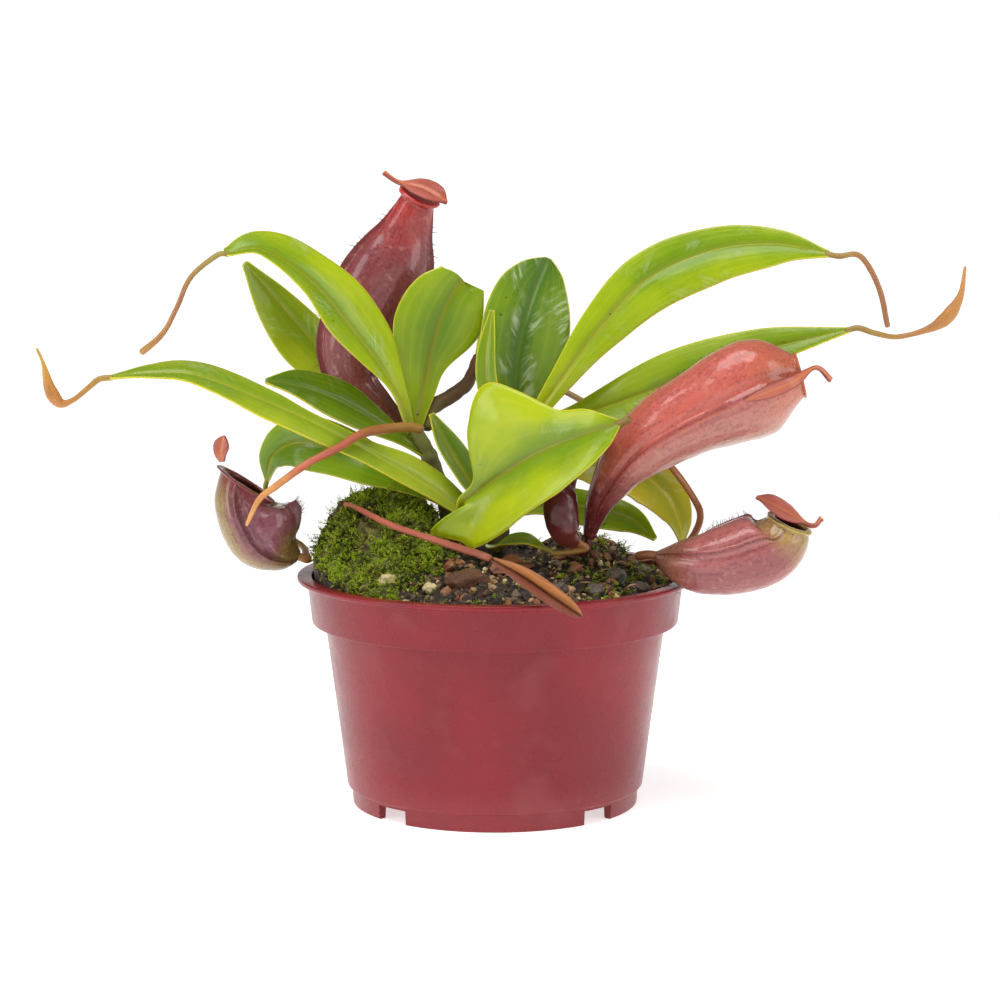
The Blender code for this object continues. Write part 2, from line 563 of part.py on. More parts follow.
def body_radius(height):
    """The pot's outer radius below its collar."""
    collar_foot = POT_HEIGHT - COLLAR_HEIGHT
    body_top = COLLAR_RADIUS - 1.4 - COLLAR_STEP
    return BASE_RADIUS + (body_top - BASE_RADIUS) * (height - FOOT_HEIGHT) / (collar_foot - FOOT_HEIGHT)


def pot_profile():
    """The pot from the middle of its floor, up the inside, over the lip and down the outside."""
    collar_foot = POT_HEIGHT - COLLAR_HEIGHT
    collar_low = COLLAR_RADIUS - 1.4
    foot = BASE_RADIUS - FOOT_INSET
    floor_top = FOOT_HEIGHT + WALL
    return [
        (0.0, floor_top),
        (body_radius(floor_top) - WALL, floor_top),
        (body_radius(collar_foot) - WALL, collar_foot + WALL),
        (collar_low - WALL, collar_foot + WALL),
        (COLLAR_RADIUS - WALL, POT_HEIGHT),
        (LIP_RADIUS - 0.4, POT_HEIGHT),
        (LIP_RADIUS, POT_HEIGHT - 0.5 * LIP_THICKNESS),
        (LIP_RADIUS - 0.4, POT_HEIGHT - LIP_THICKNESS),
        (COLLAR_RADIUS, POT_HEIGHT - 1.6 * LIP_THICKNESS),
        (collar_low, collar_foot),
        (body_radius(collar_foot), collar_foot - 0.4),
        (BASE_RADIUS, FOOT_HEIGHT),
        (foot, FOOT_HEIGHT - 0.4),
        (foot - 0.3, 0.0),
        (foot - 0.3 - 2 * WALL, 0.0),
        (foot - 0.6 - 2 * WALL, FOOT_HEIGHT),
        (0.0, FOOT_HEIGHT),
    ]


def make_pot(finish, parts, cutters):
    """The pot, with the notches in its foot ring and the drain holes in its floor."""
    pot = turned_object("pot", pot_profile(), POT_SIDES, finish, parts)
    for k in range(NOTCH_COUNT):
        angle = math.radians(45.0 + 360.0 * k / NOTCH_COUNT)
        bpy.ops.mesh.primitive_cube_add(size=1.0)
        notch = bpy.context.object
        notch.name = f"cutter_notch_{k + 1}"
        notch.scale = (16 * MM, NOTCH_WIDTH * MM, 2 * NOTCH_HEIGHT * MM)
        notch.location = (BASE_RADIUS * MM * math.cos(angle), BASE_RADIUS * MM * math.sin(angle), 0.0)
        notch.rotation_euler.z = angle
        move_to(notch, cutters)
        cut(pot, notch)
    for k in range(DRAIN_COUNT):
        angle = math.tau * k / DRAIN_COUNT
        bpy.ops.mesh.primitive_cylinder_add(vertices=12, radius=DRAIN_RADIUS * MM, depth=10 * MM)
        drain = bpy.context.object
        drain.name = f"cutter_drain_{k + 1}"
        drain.location = (DRAIN_CIRCLE * MM * math.cos(angle), DRAIN_CIRCLE * MM * math.sin(angle),
                          FOOT_HEIGHT * MM)
        move_to(drain, cutters)
        cut(pot, drain)
    return pot


def move_to(piece, cutters):
    for collection in list(piece.users_collection):
        collection.objects.unlink(piece)
    cutters.objects.link(piece)
    hide_as_cutter(piece)


def soil_height(x, y):
    """The height of the soil's surface: a low crown, the mound at the left, and crumbs."""
    radius = math.hypot(x, y)
    crown = SOIL_CROWN * max(0.0, 1.0 - (radius / 58.0) ** 2)
    mound = 0.0
    for middle_x, middle_y, half_width, half_depth, height in (MOUND, SHOULDER, RISE):
        across = abs(x - middle_x) / half_width
        deep = abs(y - middle_y) / half_depth
        mound += height * math.exp(-across**4 - deep**2)
    crumbs = 1.3 * noise.noise(Vector((x, y, 0.0)) / 9.0)
    return SOIL_RIM_HEIGHT + crown + mound + crumbs


def soil_profile():
    """The soil from the middle of its surface to the rim and down the inside of the pot."""
    collar_foot = POT_HEIGHT - COLLAR_HEIGHT
    low_collar = COLLAR_RADIUS - 1.4 - WALL - GAP
    surface = [(SOIL_RADIUS * share, SOIL_RIM_HEIGHT) for share in SOIL_RINGS]
    floor_top = FOOT_HEIGHT + WALL + GAP
    return surface + [
        (low_collar, collar_foot + WALL + 1.0),
        (low_collar - 0.3, collar_foot + WALL + GAP),
        (body_radius(collar_foot) - WALL - 1.2, collar_foot + WALL + GAP),
        (body_radius(floor_top) - WALL - GAP, floor_top),
        (0.0, floor_top),
    ]


def relief(mesh, height):
    """Splits a turned mesh alike everywhere and lifts its surface to the height of each place."""
    work = bmesh.new()
    work.from_mesh(mesh)
    bmesh.ops.triangulate(work, faces=work.faces, quad_method="FIXED")
    for vertex in work.verts:
        if vertex.co.z > (SOIL_RIM_HEIGHT - 0.5) * MM:
            vertex.co.z = height(vertex.co.x / MM, vertex.co.y / MM) * MM
    work.to_mesh(mesh)
    work.free()


def make_soil(finish, parts):
    soil = turned_object("soil", soil_profile(), SOIL_SIDES, finish, parts)
    soil = baked(soil)
    relief(soil.data, soil_height)
    return soil


def moss_grows(x, y):
    """Where moss covers the soil: the mound and the front left of the pot."""
    share = math.hypot(x, y) / SOIL_RADIUS
    angle = math.degrees(math.atan2(y, x)) % 360.0
    return any(low < share < high and first < angle < last for low, high, first, last in MOSS_BANDS)


def make_moss(soil, finish, parts):
    """A mat of moss on the soil's own facets, thick in the middle and thin at its edge."""
    work = bmesh.new()
    work.from_mesh(soil.data)
    surface = (SOIL_RIM_HEIGHT - 3.0) * MM
    dropped = []
    for face in work.faces:
        middle = face.calc_center_median() / MM
        if min(v.co.z for v in face.verts) < surface or not moss_grows(middle.x, middle.y):
            dropped.append(face)
    bmesh.ops.delete(work, geom=dropped, context="FACES")
    layer = work.verts.layers.deform.verify()
    for vertex in work.verts:
        tufts = 0.6 + 0.4 * noise.noise(vertex.co / MM / 6.0)
        vertex[layer][0] = 0.0 if vertex.is_boundary else tufts
        vertex.co.z += (GAP + 0.15) * MM
    mesh = bpy.data.meshes.new("moss")
    work.to_mesh(mesh)
    work.free()
    moss = add_object("moss", mesh, finish, parts)
    moss.vertex_groups.new(name="thickness")
    solid = moss.modifiers.new("thickness", "SOLIDIFY")
    solid.thickness = MOSS_THICKNESS * MM
    solid.vertex_group = "thickness"
    solid.thickness_vertex_group = 0.3
    solid.offset = 1.0
    return moss


def grit_object(name, place, size, turn, finish, collection, extra=0.0):
    """A rough lump half sunk in the soil; `extra` widens it, for its socket."""
    bpy.ops.mesh.primitive_ico_sphere_add(subdivisions=2, radius=0.5)
    lump = bpy.context.object
    lump.name = name
    lump.data.name = name
    angle = math.radians(turn)
    middle = Vector((place[0], place[1], soil_height(*place) + 0.12 * size[2]))
    for vertex in lump.data.vertices:
        rough = 1.0 + 0.22 * noise.noise(vertex.co * 3.0 + Vector((turn, size[0], 0.0)))
        local = Vector([vertex.co[axis] * (size[axis] + 2.0 * extra) * rough for axis in range(3)])
        across = local.x * math.cos(angle) - local.y * math.sin(angle)
        deep = local.x * math.sin(angle) + local.y * math.cos(angle)
        vertex.co = (middle + Vector((across, deep, local.z))) * MM
    lump.data.materials.append(finish)
    for owner in list(lump.users_collection):
        owner.objects.unlink(lump)
    collection.objects.link(lump)
    return lump


def stand_on_origin(collection):
    """Moves the collection's pieces so that the plant's middle lies over the origin."""
    for piece in collection.objects:
        piece.location.x -= PLANT_MIDDLE[0] * MM
        piece.location.y -= PLANT_MIDDLE[1] * MM


def main():
    for piece in list(bpy.data.objects):
        bpy.data.objects.remove(piece)
    parts = new_collection("potted_pitcher_plant")
    cutters = new_collection("cutters")
    finishes = {
        "pot": material("red plastic", (0.26, 0.02, 0.03), 0.4),
        "soil": material("soil", (0.03, 0.02, 0.01), 0.95),
        "moss": material("moss", (0.12, 0.2, 0.02), 0.9),
        "leaf": material("leaf", LEAF_GREEN, 0.35),
        "olive": material("olive leaf", OLIVE_GREEN, 0.4),
        "stem": material("stem", (0.15, 0.25, 0.04), 0.5),
        "tendril": material("tendril", STALK_BROWN, 0.45),
        "tendril_red": material("red tendril", TENDRIL_RED, 0.45),
        "pitcher": material("pitcher", PITCHER_RED, 0.35),
        "maroon": material("young pitcher", PITCHER_MAROON, 0.25),
        "dry": material("dry pitcher", DRY_ORANGE, 0.5),
        "perlite": material("perlite", (0.6, 0.5, 0.3), 0.8),
        "bark": material("bark", (0.09, 0.04, 0.02), 0.9),
        "stone": material("stone", (0.11, 0.1, 0.09), 0.8),
    }
    make_pot(finishes["pot"], parts, cutters)
    soil = make_soil(finishes["soil"], parts)
    moss = make_moss(soil, finishes["moss"], parts)

    stem_cutters = {}
    for name, stem in STEMS.items():
        stalk_object(name, stem, finishes["stem"], parts)
        cutter = baked(stalk_object(f"cutter_{name}", stem, finishes["stem"], cutters, GAP))
        hide_as_cutter(cutter)
        stem_cutters[name] = cutter
        cut(soil, cutter)
        cut(moss, cutter)
    for name, (place, size, turn, finish) in GRIT.items():
        grit_object(name, place, size, turn, finishes[finish], parts)
        socket = grit_object(f"cutter_{name}", place, size, turn, finishes[finish], cutters, GAP)
        hide_as_cutter(socket)
        cut(soil, socket)
    for name, leaf in LEAVES.items():
        columns = 6 if max(leaf.left + leaf.right) > 8 else 4
        piece = blade_object(name, leaf, finishes[leaf.finish], parts, columns)
        if leaf.seat:
            cut(piece, stem_cutters[leaf.seat])
    for name, stalk in STALKS.items():
        stalk_object(name, stalk, finishes[stalk.finish], parts)
    for name, pitcher in PITCHERS.items():
        pitcher_object(name, pitcher, finishes[pitcher.finish], parts)
    stalk_object("pitcher_young", YOUNG_PITCHER, finishes["maroon"], parts)
    for name, lid in LIDS.items():
        blade_object(name, lid, finishes[lid.finish], parts, columns=4)
    blade_object("pitcher_dry", DRY_PITCHER, finishes["dry"], parts, columns=4)
    blade_object("dead_leaf", DEAD_LEAF, finishes["dry"], parts, columns=4)
    stand_on_origin(parts)
    stand_on_origin(cutters)


main()
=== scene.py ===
"""Finishes the potted pitcher plant: leaves, pitchers, tendrils, moss, soil and pot, and a plain studio.

The tables repeat the construction's own, in millimetres from the middle of the pot's underside; +Z is up
and -Y the plant's front. The pot's place in the frame carries them into the frame's metres.
"""

import math
from collections import namedtuple

import bmesh
import bpy
import numpy as np
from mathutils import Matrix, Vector, noise


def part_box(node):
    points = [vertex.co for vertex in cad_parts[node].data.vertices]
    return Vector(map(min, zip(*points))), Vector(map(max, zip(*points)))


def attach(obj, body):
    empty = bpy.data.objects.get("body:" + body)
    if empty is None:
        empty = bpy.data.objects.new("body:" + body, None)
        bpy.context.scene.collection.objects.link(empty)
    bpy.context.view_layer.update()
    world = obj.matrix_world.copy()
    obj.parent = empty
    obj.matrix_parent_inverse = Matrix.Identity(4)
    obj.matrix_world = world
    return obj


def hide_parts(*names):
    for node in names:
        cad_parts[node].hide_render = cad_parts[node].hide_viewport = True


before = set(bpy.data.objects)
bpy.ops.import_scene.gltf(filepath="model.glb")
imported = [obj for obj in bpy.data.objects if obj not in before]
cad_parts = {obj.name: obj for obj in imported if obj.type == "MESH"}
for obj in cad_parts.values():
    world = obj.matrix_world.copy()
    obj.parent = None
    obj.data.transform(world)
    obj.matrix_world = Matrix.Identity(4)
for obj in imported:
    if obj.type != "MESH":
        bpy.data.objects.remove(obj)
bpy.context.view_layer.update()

bl_info = {
    "name": "Potted Pitcher Plant",
    "version": (1, 0, 0),
    "blender": (4, 5, 0),
    "location": "3D View > Sidebar > Pitcher Plant",
    "description": "Dresses a pitcher plant in its nursery pot and lights it in a plain studio",
    "category": "Object",
}

MM = 0.001
POT_LOW, POT_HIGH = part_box("pot")
POT_FOOT = np.array([(POT_LOW.x + POT_HIGH.x) / 2, (POT_LOW.y + POT_HIGH.y) / 2, POT_LOW.z])
LIP_RADIUS = (POT_HIGH.x - POT_LOW.x) / 2 / MM
POT_HEIGHT = (POT_HIGH.z - POT_LOW.z) / MM

COLLAR_RADIUS = LIP_RADIUS - 3.3
COLLAR_HEIGHT = 15.0
COLLAR_STEP = 4.2
COLLAR_TAPER = 1.4
LIP_THICKNESS = 1.4
BASE_RADIUS = 47.5
FOOT_HEIGHT = 6.0
FOOT_INSET = 1.4
WALL = 1.3
NOTCH_SIZE = (16.0, 12.0, 9.2)
NOTCH_COUNT = 4
DRAIN_RADIUS = 3.5
DRAIN_CIRCLE = 30.0
DRAIN_COUNT = 6

SOIL_RIM_HEIGHT = 71.0
SOIL_CROWN = 9.0
SOIL_RADIUS = COLLAR_RADIUS - WALL - 0.6
MOUND = (-38.5, 4.0, 18.5, 26.0, 22.5)
SHOULDER = (-14.5, 5.0, 9.0, 22.0, 5.0)
RISE = (30.0, 8.0, 13.0, 14.0, 7.0)

PATH_STEPS = 240
SOIL_ROWS = 96
SOIL_SIDES = 260
MOSS_ROWS = 70
MOSS_COLUMNS = 120
MOSS_LEAFLETS = 13
FRINGE_ROWS = 34
GRIT_RISE = 0.12

STUDIO_SIDES = 96
TABLE_RADIUS = 700.0
WALL_RADIUS = 1540.0
WALL_HEIGHT = 420.0
WALL_THICKNESS = 20.0
LIGHTS_AIM = (0.0, 0.0, 90.0)
CAMERA_AIM = (1.57, 0.0, 97.6)

Blade = namedtuple("Blade", "midrib face left right lift curl wave sweep stalk blunt pulls")
Blade.__new__.__defaults__ = ((12, 12), (0.15, 0.15), (0.0, 1.0), (0.0, 0.0), 2.4, 1.0, ())
Stalk = namedtuple("Stalk", "points radii after before")
Stalk.__new__.__defaults__ = ("", "")
Pitcher = namedtuple("Pitcher", "axis front widths depths slope wings lip floor lean")
Pitcher.__new__.__defaults__ = (0,)
# the last field of a leaf's look is its share of painted glare
LeafLook = namedtuple("LeafLook", "light deep rib margin bloom")
PitcherLook = namedtuple("PitcherLook", "front side back base mouth inside speckle")
StalkLook = namedtuple("StalkLook", "start middle end streak")

STEMS = {
    "stem_main": Stalk([(1, 4, 68), (1, 5, 90), (3, 6, 106), (7, 5, 120), (10, 4, 127)], [3.4, 3.2, 2.8]),
    "stem_side": Stalk([(-12, 6, 72), (-16, 7, 95), (-20, 8, 108), (-26, 7, 120)], [2.8, 2.6, 2.4]),
}

LEAVES = {
    "leaf_upper_left": Blade(
        [(-27, 6, 119), (-33, 3, 135), (-45, 0, 152), (-58, -4, 168), (-73, -8, 178), (-84, -12, 177)],
        ((0.5, -0.8, 0.4), (0.0, -0.7, 0.7)),
        [2.0, 2.6, 8.0, 11.0, 8.0, 5.0, 1.5], [2.0, 5.0, 12.5, 14.0, 11.5, 9.5, 2.5],
        lift=(25, 5), curl=(0.0, 0.2)),
    "leaf_rear_left": Blade(
        [(-24.5, 10, 114), (-28, 23, 115.4), (-39, 37, 125.5), (-55, 42, 139), (-70, 41, 156),
         (-82, 37, 171)],
        ((0.3, -1.0, 0.2), (0.1, -0.9, 0.4)),
        [2, 2.6, 5, 9, 12, 9, 1.5], [2, 2.6, 4, 6, 7, 5, 1], curl=(0.0, 0.1)),
    "leaf_short_left": Blade(
        [(-23, 7, 112), (-40, 2, 124), (-52, -2, 131), (-62, -6, 135), (-72, -10, 137)],
        ((0.1, -0.7, 0.7), (0.2, -0.7, 0.7)),
        [1.5, 3, 6, 8, 8, 5, 1], [1.5, 3, 5.5, 8, 8, 6, 1]),
    "leaf_long_left": Blade(
        [(1, 3, 93), (-10, -3, 95), (-21, -7, 103), (-35, -11, 112), (-50, -15, 121), (-70, -19, 131),
         (-92, -23, 140), (-106, -26, 141), (-119, -28, 140)],
        ((0.2, -0.8, 0.6), (0.0, -0.4, 1.0)),
        [2, 3, 5, 6, 8, 9, 7, 4, 0.9], [2, 6, 7.5, 4, 3.5, 5.5, 7, 6, 0.9]),
    "leaf_low_left": Blade(
        [(0, 6, 88), (-11, 3, 94), (-24, -1, 102), (-40, 0, 110), (-54, 3, 114.5), (-65, 7, 115),
         (-72, 11, 110), (-74, 13, 102)],
        ((0.1, -0.8, 0.6), (-0.5, -0.8, 0.2)),
        [1.5, 2, 2.5, 5, 8, 9, 9, 6, 0.8], [1.5, 2, 2.5, 4, 6, 8, 9, 7, 0.8]),
    "leaf_notched": Blade(
        [(-25.5, 8, 120), (-22.5, 12, 134), (-20, 13, 146), (-16.5, 14, 157), (-10.5, 15, 168)],
        ((0.2, -1.0, 0.1), (0.1, -1.0, 0.1)),
        [2.2, 4, 8, 11.5, 13, 14.5, 14, 12, 9], [2, 3, 4, 5, 8, 12, 14, 12, 8],
        lift=(8, 8), sweep=(0.0, 0.5),
        pulls=((1.0, -0.5, 0.08, 0.4, (0.0, 0.0, -4.0)), (1.0, 0.9, 0.08, 0.3, (1.0, 0.0, -1.0)))),
    "leaf_upright": Blade(
        [(6, 9, 112), (6, 10, 126), (7, 11, 140), (9, 12, 151), (12, 13, 162), (17, 13, 174)],
        ((0.0, -1.0, 0.3), (0.0, -1.0, 0.3)),
        [2, 4, 8, 12, 13.5, 13.5, 11, 4], [2, 4, 10, 14.5, 15.5, 14.5, 11, 4], blunt=0.93),
    "leaf_upright_young": Blade(
        [(4, 5, 109), (0, 1, 124), (-3, 2, 140), (-1, 5, 158)],
        ((-0.3, -1.0, 0.1), (-0.3, -1.0, 0.1)),
        [1.5, 2.5, 3.5, 3, 0.8], [1.5, 2.5, 3.5, 3, 0.8]),
    "leaf_front": Blade(
        [(1, 5, 86), (-4, -3, 90.5), (-9, -10, 95), (-10, -15, 99), (-4, -19, 104), (3, -23, 109.5),
         (10, -27, 114.5), (18, -31, 119), (26, -35, 122.5), (32.5, -38, 125), (38, -39, 127)],
        ((0.1, -1.0, 0.4), (0.1, -1.0, 0.4)),
        [1.8, 1.8, 1.8, 2, 4.5, 18, 24, 20.5, 13.5, 8, 1], [1.8, 1.8, 1.8, 2.5, 8, 12, 18, 21, 19, 13, 1],
        lift=(10, 20), sweep=(0.3, 3.8),
        pulls=((0.4, -1.0, 0.06, 0.5, (-6.0, 0.0, 2.0)), (0.6, 1.0, 0.08, 0.5, (0.0, 0.0, 4.0)),
               (0.8, 1.0, 0.08, 0.5, (0.0, 0.0, -3.0)))),
    "leaf_upper_right": Blade(
        [(11.5, 5, 122), (22.5, 4, 138), (34, 6, 153), (49, 8, 168), (70, 9, 177), (90, 7, 179),
         (106, 4, 176)],
        ((-0.4, -0.9, 0.4), (0.0, -0.8, 0.6)),
        [2, 4.5, 7.5, 9, 8, 5.5, 1], [2, 4.5, 8, 11, 11, 8, 1],
        lift=(20, 5), curl=(0.1, 0.3)),
    "leaf_long_right": Blade(
        [(7, 5, 117), (16, 9, 121), (30, 8, 125), (46, 4, 131), (65, 0, 139), (84, -4, 146), (99, -8, 150),
         (111, -10, 153)],
        ((-0.1, -0.9, 0.5), (0.0, -0.9, 0.5)),
        [1.8, 3, 7, 10, 10, 8, 5, 0.9], [1.8, 3, 7, 9.5, 9.5, 8, 4, 0.9]),
    "leaf_low_right": Blade(
        [(4, 7, 102), (13, 14, 104), (28, 22, 107), (44, 18, 106), (54, 10, 99), (59, 4, 91), (60, 0, 84)],
        ((0.0, -0.6, 0.8), (0.5, -0.8, 0.2)),
        [1.6, 2.5, 6, 8, 8, 7, 1], [1.6, 2.5, 7, 12, 12, 9, 1]),
    "leaf_low_rear": Blade(
        [(2, 6, 90), (8, 13, 92), (21, 25, 93), (34, 27, 91), (45, 21, 88), (52, 15, 83)],
        ((0.0, -0.6, 0.8), (0.3, -0.8, 0.4)),
        [1.5, 2.5, 6, 6, 5, 0.9], [1.5, 2.5, 7, 8, 7, 0.9]),
    "leaf_rear": Blade(
        [(-5, 30, 142), (3, 40, 146), (13, 46, 141), (19, 45, 131)],
        ((0.3, 0.3, 1.0), (0.8, 0.5, 0.5)),
        [2, 6, 9, 8, 5, 1], [2, 6, 9, 8, 5, 1]),
    "leaf_strap": Blade(
        [(1, 3, 99), (-6, -3, 102), (-11, -4, 109), (-16, -5, 117), (-20, -6, 126)],
        ((0.3, -0.9, 0.5), (0.3, -0.9, 0.5)),
        [1.5, 3, 3.5, 3, 0.9], [1.5, 4.5, 5.5, 4.5, 0.9]),
    "leaf_basal": Blade(
        [(1, 4, 82), (0, -6, 84), (4, -14, 87), (10, -20, 88), (15, -22, 86)],
        ((0.0, -0.6, 0.8), (0.0, -0.6, 0.8)),
        [1.5, 3, 3.5, 3, 0.9], [1.5, 3, 3.5, 3, 0.9]),
}

STALKS = {
    "stalk_old": Stalk(
        [(-22.5, 11.2, 119), (-21, 14.5, 125), (-15, 18.5, 128.5), (-9, 23, 133), (-5, 29, 141)],
        [2.3, 2.4, 2.2, 2.0]),
    "tendril_bare": Stalk(
        [(-23, 2, 120), (-28, 0, 121), (-35, -5, 121), (-42, -14, 120.5), (-49, -22, 117), (-58, -28, 113),
         (-68, -30, 106), (-73, -31, 102), (-77, -32, 94)],
        [1.6, 1.6, 1.3, 1.2, 1.1, 0.6]),
    "tendril_upper_left": Stalk(
        [(-95, -13, 169.5), (-99.5, -13, 160), (-104, -13, 152), (-111, -13, 145.8)],
        [0.9, 0.8, 0.8, 1.1], "leaf_upper_left"),
    "tendril_long_left": Stalk(
        [(-125, -29, 137), (-130, -30, 133), (-134, -30, 132), (-137, -30, 136), (-139, -30, 144),
         (-141, -30, 149)],
        [0.9, 0.9, 0.8, 0.9, 2.0, 1.5, 0.6, 0.4], "leaf_long_left"),
    "tendril_front": Stalk(
        [(34, -30, 122), (27, -13, 113), (24, -7, 102), (24, -6, 92), (24.5, -8, 86), (27.5, -13, 82.5),
         (28.8, -16, 84)],
        [0.9, 1.2, 1.4, 1.4, 1.4], "leaf_front", "pitcher_right"),
    "tendril_upper_right": Stalk(
        [(116, 4, 175), (122, 4, 165), (125, 4, 152.5)], [0.9, 0.9, 0.9], "leaf_upper_right"),
    "tendril_long_right": Stalk(
        [(119, -11, 152), (127, -12, 151), (139, -12, 155), (145.2, -12, 163), (146.9, -12, 173)],
        [0.9, 0.9, 0.8, 1.0, 2.2, 1.0, 0.4], "leaf_long_right"),
    "tendril_low_left": Stalk(
        [(-73, 14, 92), (-68, 12, 85), (-62, 7, 81.4), (-60.6, -0.6, 80.4)],
        [0.8, 1.0, 1.3], "leaf_low_left", "pitcher_left"),
    "tendril_rear": Stalk(
        [(23, 42, 128), (31, 36, 124), (47, 20, 114), (56, 5, 108), (63, -4, 99), (65, -9, 93),
         (61, -9, 85), (53, -11.5, 82), (46, -15, 82), (45.5, -19, 82.7)],
        [0.9, 1.1, 1.1, 1.1, 1.2, 1.4], "leaf_rear", "pitcher_low_right"),
    "tendril_young": Stalk([(19, -23, 84)], [0.8, 0.9, 1.2], "leaf_basal", "pitcher_young"),
    "tendril_dry": Stalk(
        [(-48, -8, 97.5), (-44, -9, 96.5), (-33, -22, 93), (-17, -38, 90), (-5, -50, 88), (-1, -53, 87)],
        [0.8, 1.0, 1.0, 1.1, 1.2]),
}

PITCHERS = {
    "pitcher_top": Pitcher(
        [(-27, 14, 117), (-38, 18.6, 126), (-46, 24, 133), (-47, 28, 144), (-39.5, 30, 159), (-32.5, 30, 173),
         (-27, 30, 187), (-25, 30, 192)],
        (0.2, -1.0, 0.1), [2.0, 3.6, 6, 9.5, 12.5, 14, 13, 8.5, 5.5], [2.0, 3.4, 5, 8, 10, 10, 9, 6, 5],
        0.3, (80, 1.6), 1.6, 0.45),
    "pitcher_right": Pitcher(
        [(29.5, -17, 88), (31, -18, 94), (34, -20, 102), (42, -23, 114), (54, -25, 124), (70, -25, 132),
         (83, -25, 137), (94, -25, 140)],
        (-0.2, -0.5, 0.85),
        [1.8, 4.2, 7, 9.5, 11.5, 12.5, 13.8, 12.8, 6], [1.8, 4, 6.6, 9.6, 11.6, 13, 15.5, 16, 7.4],
        0.0, (62, 1.4), 0.7, 0.35),
    "pitcher_left": Pitcher(
        [(-62.5, -6, 80.3), (-67, -6, 82), (-72, -6, 86.5), (-76, -6, 92.5), (-78.5, -6, 98.5),
         (-79, -6, 103)],
        (0.5, -0.8, 0.3), [1.8, 8.5, 12, 12, 10.2, 7.5], [1.8, 8.2, 11.5, 11.8, 10, 7.5],
        0.8, (50, 2.2), 0.9, 0.3, 55),
    "pitcher_low_right": Pitcher(
        [(51, -23, 83), (58, -27, 82), (67, -30, 82), (79, -30, 85), (87, -30, 89), (91, -30, 94)],
        (0.1, -0.3, 1.0), [2, 7, 9.3, 10.5, 10.8, 10, 6.5], [2, 7, 9.3, 11, 11.8, 11, 6.5],
        0.3, (50, 1.4), 0.9, 0.3),
}

YOUNG_PITCHER = Stalk([(26, -22, 87), (22.5, -23, 90), (20.5, -23, 97), (20.5, -21, 108)],
                      [1.6, 4.8, 5.4, 5.2, 1.2])

LIDS = {
    "lid_top": Blade([(-36, 30, 201), (-31, 29, 197.8), (-23, 26.5, 195.8), (-15.5, 23, 191.5)],
                     ((0.3, -0.5, 0.85), (0.35, -0.6, 0.7)),
                     [0.8, 0.8, 4.8, 5.2, 1.5], [0.8, 0.8, 4.8, 5.2, 1.5], stalk=1.3, blunt=0.8),
    "lid_right": Blade([(104, -28, 139), (99, -29, 143), (90, -39, 139), (76, -42, 134)],
                       ((0.3, -0.8, 0.5), (0.0, -0.9, -0.3)),
                       [0.8, 0.7, 1.8, 2.2, 1], [0.8, 0.7, 1.8, 2.2, 1], stalk=1.3, blunt=0.85),
    "lid_left": Blade([(-86.6, -6, 110.6), (-87, -6, 114), (-86, -6, 119)],
                      ((-0.3, -1.0, 0.1), (-0.3, -1.0, 0.1)),
                      [0.8, 2.2, 2.6, 0.8], [0.8, 2.2, 2.6, 0.8], stalk=1.2, blunt=0.85),
    "lid_low_right": Blade([(101.5, -28, 96), (98.5, -29, 94), (91, -31, 98), (81, -33, 103.5)],
                           ((0.3, -0.4, 0.9), (0.3, -0.4, 0.9)),
                           [0.8, 0.7, 5.2, 5.8, 1.5], [0.8, 0.7, 5.2, 5.8, 1.5], stalk=1.3, blunt=0.8),
}

DRY_PITCHER = Blade([(-0.6, -53.4, 86.8), (8, -60, 83), (18, -65, 77), (26, -68, 72)],
                    ((0.2, -0.9, 0.1), (0.2, -0.9, 0.1)),
                    [1.2, 3.4, 4.6, 4.4, 3.4], [1.2, 3.4, 4.6, 4.4, 3.4],
                    lift=(50, 50), curl=(0.2, 0.2), stalk=1.6, blunt=0.8)

DEAD_LEAF = Blade([(-1, -29, 79.3), (5, -26, 81.3), (12, -22, 80.3)],
                  ((0.2, -0.6, 1.0), (0.0, -0.4, 1.0)),
                  [1.5, 4, 4, 1], [1.5, 4, 4, 1], wave=(0.8, 2.0), stalk=1.2)

# Loose pieces half sunk in the soil: place, length and width and height, turn in degrees, slot.
GRIT = {
    "perlite_large": ((-33, -35), (6.4, 5.8, 5.4), 20, "perlite"),
    "perlite_small": ((-20, -41), (4.4, 4.0, 3.8), 0, "perlite"),
    "bark_chunk": ((-9, -37), (14, 8, 8), 25, "bark"),
    "stone_1": ((38, -20), (8, 6, 6), 60, "stone"),
    "stone_2": ((45, -27), (7, 6, 5), 10, "stone"),
    "stone_3": ((31, -37), (7, 5, 5), 120, "stone"),
    "stone_4": ((20, -40), (6, 5, 5), 75, "stone"),
}


def tint(red, green, blue):
    """A colour from its screen values of 0 to 255, in the linear values that materials take."""
    shares = [value / 255 for value in (red, green, blue)]
    return tuple(s / 12.92 if s <= 0.04045 else ((s + 0.055) / 1.055) ** 2.4 for s in shares) + (1.0,)


def tints(*colours):
    return [tint(*colour) for colour in colours]
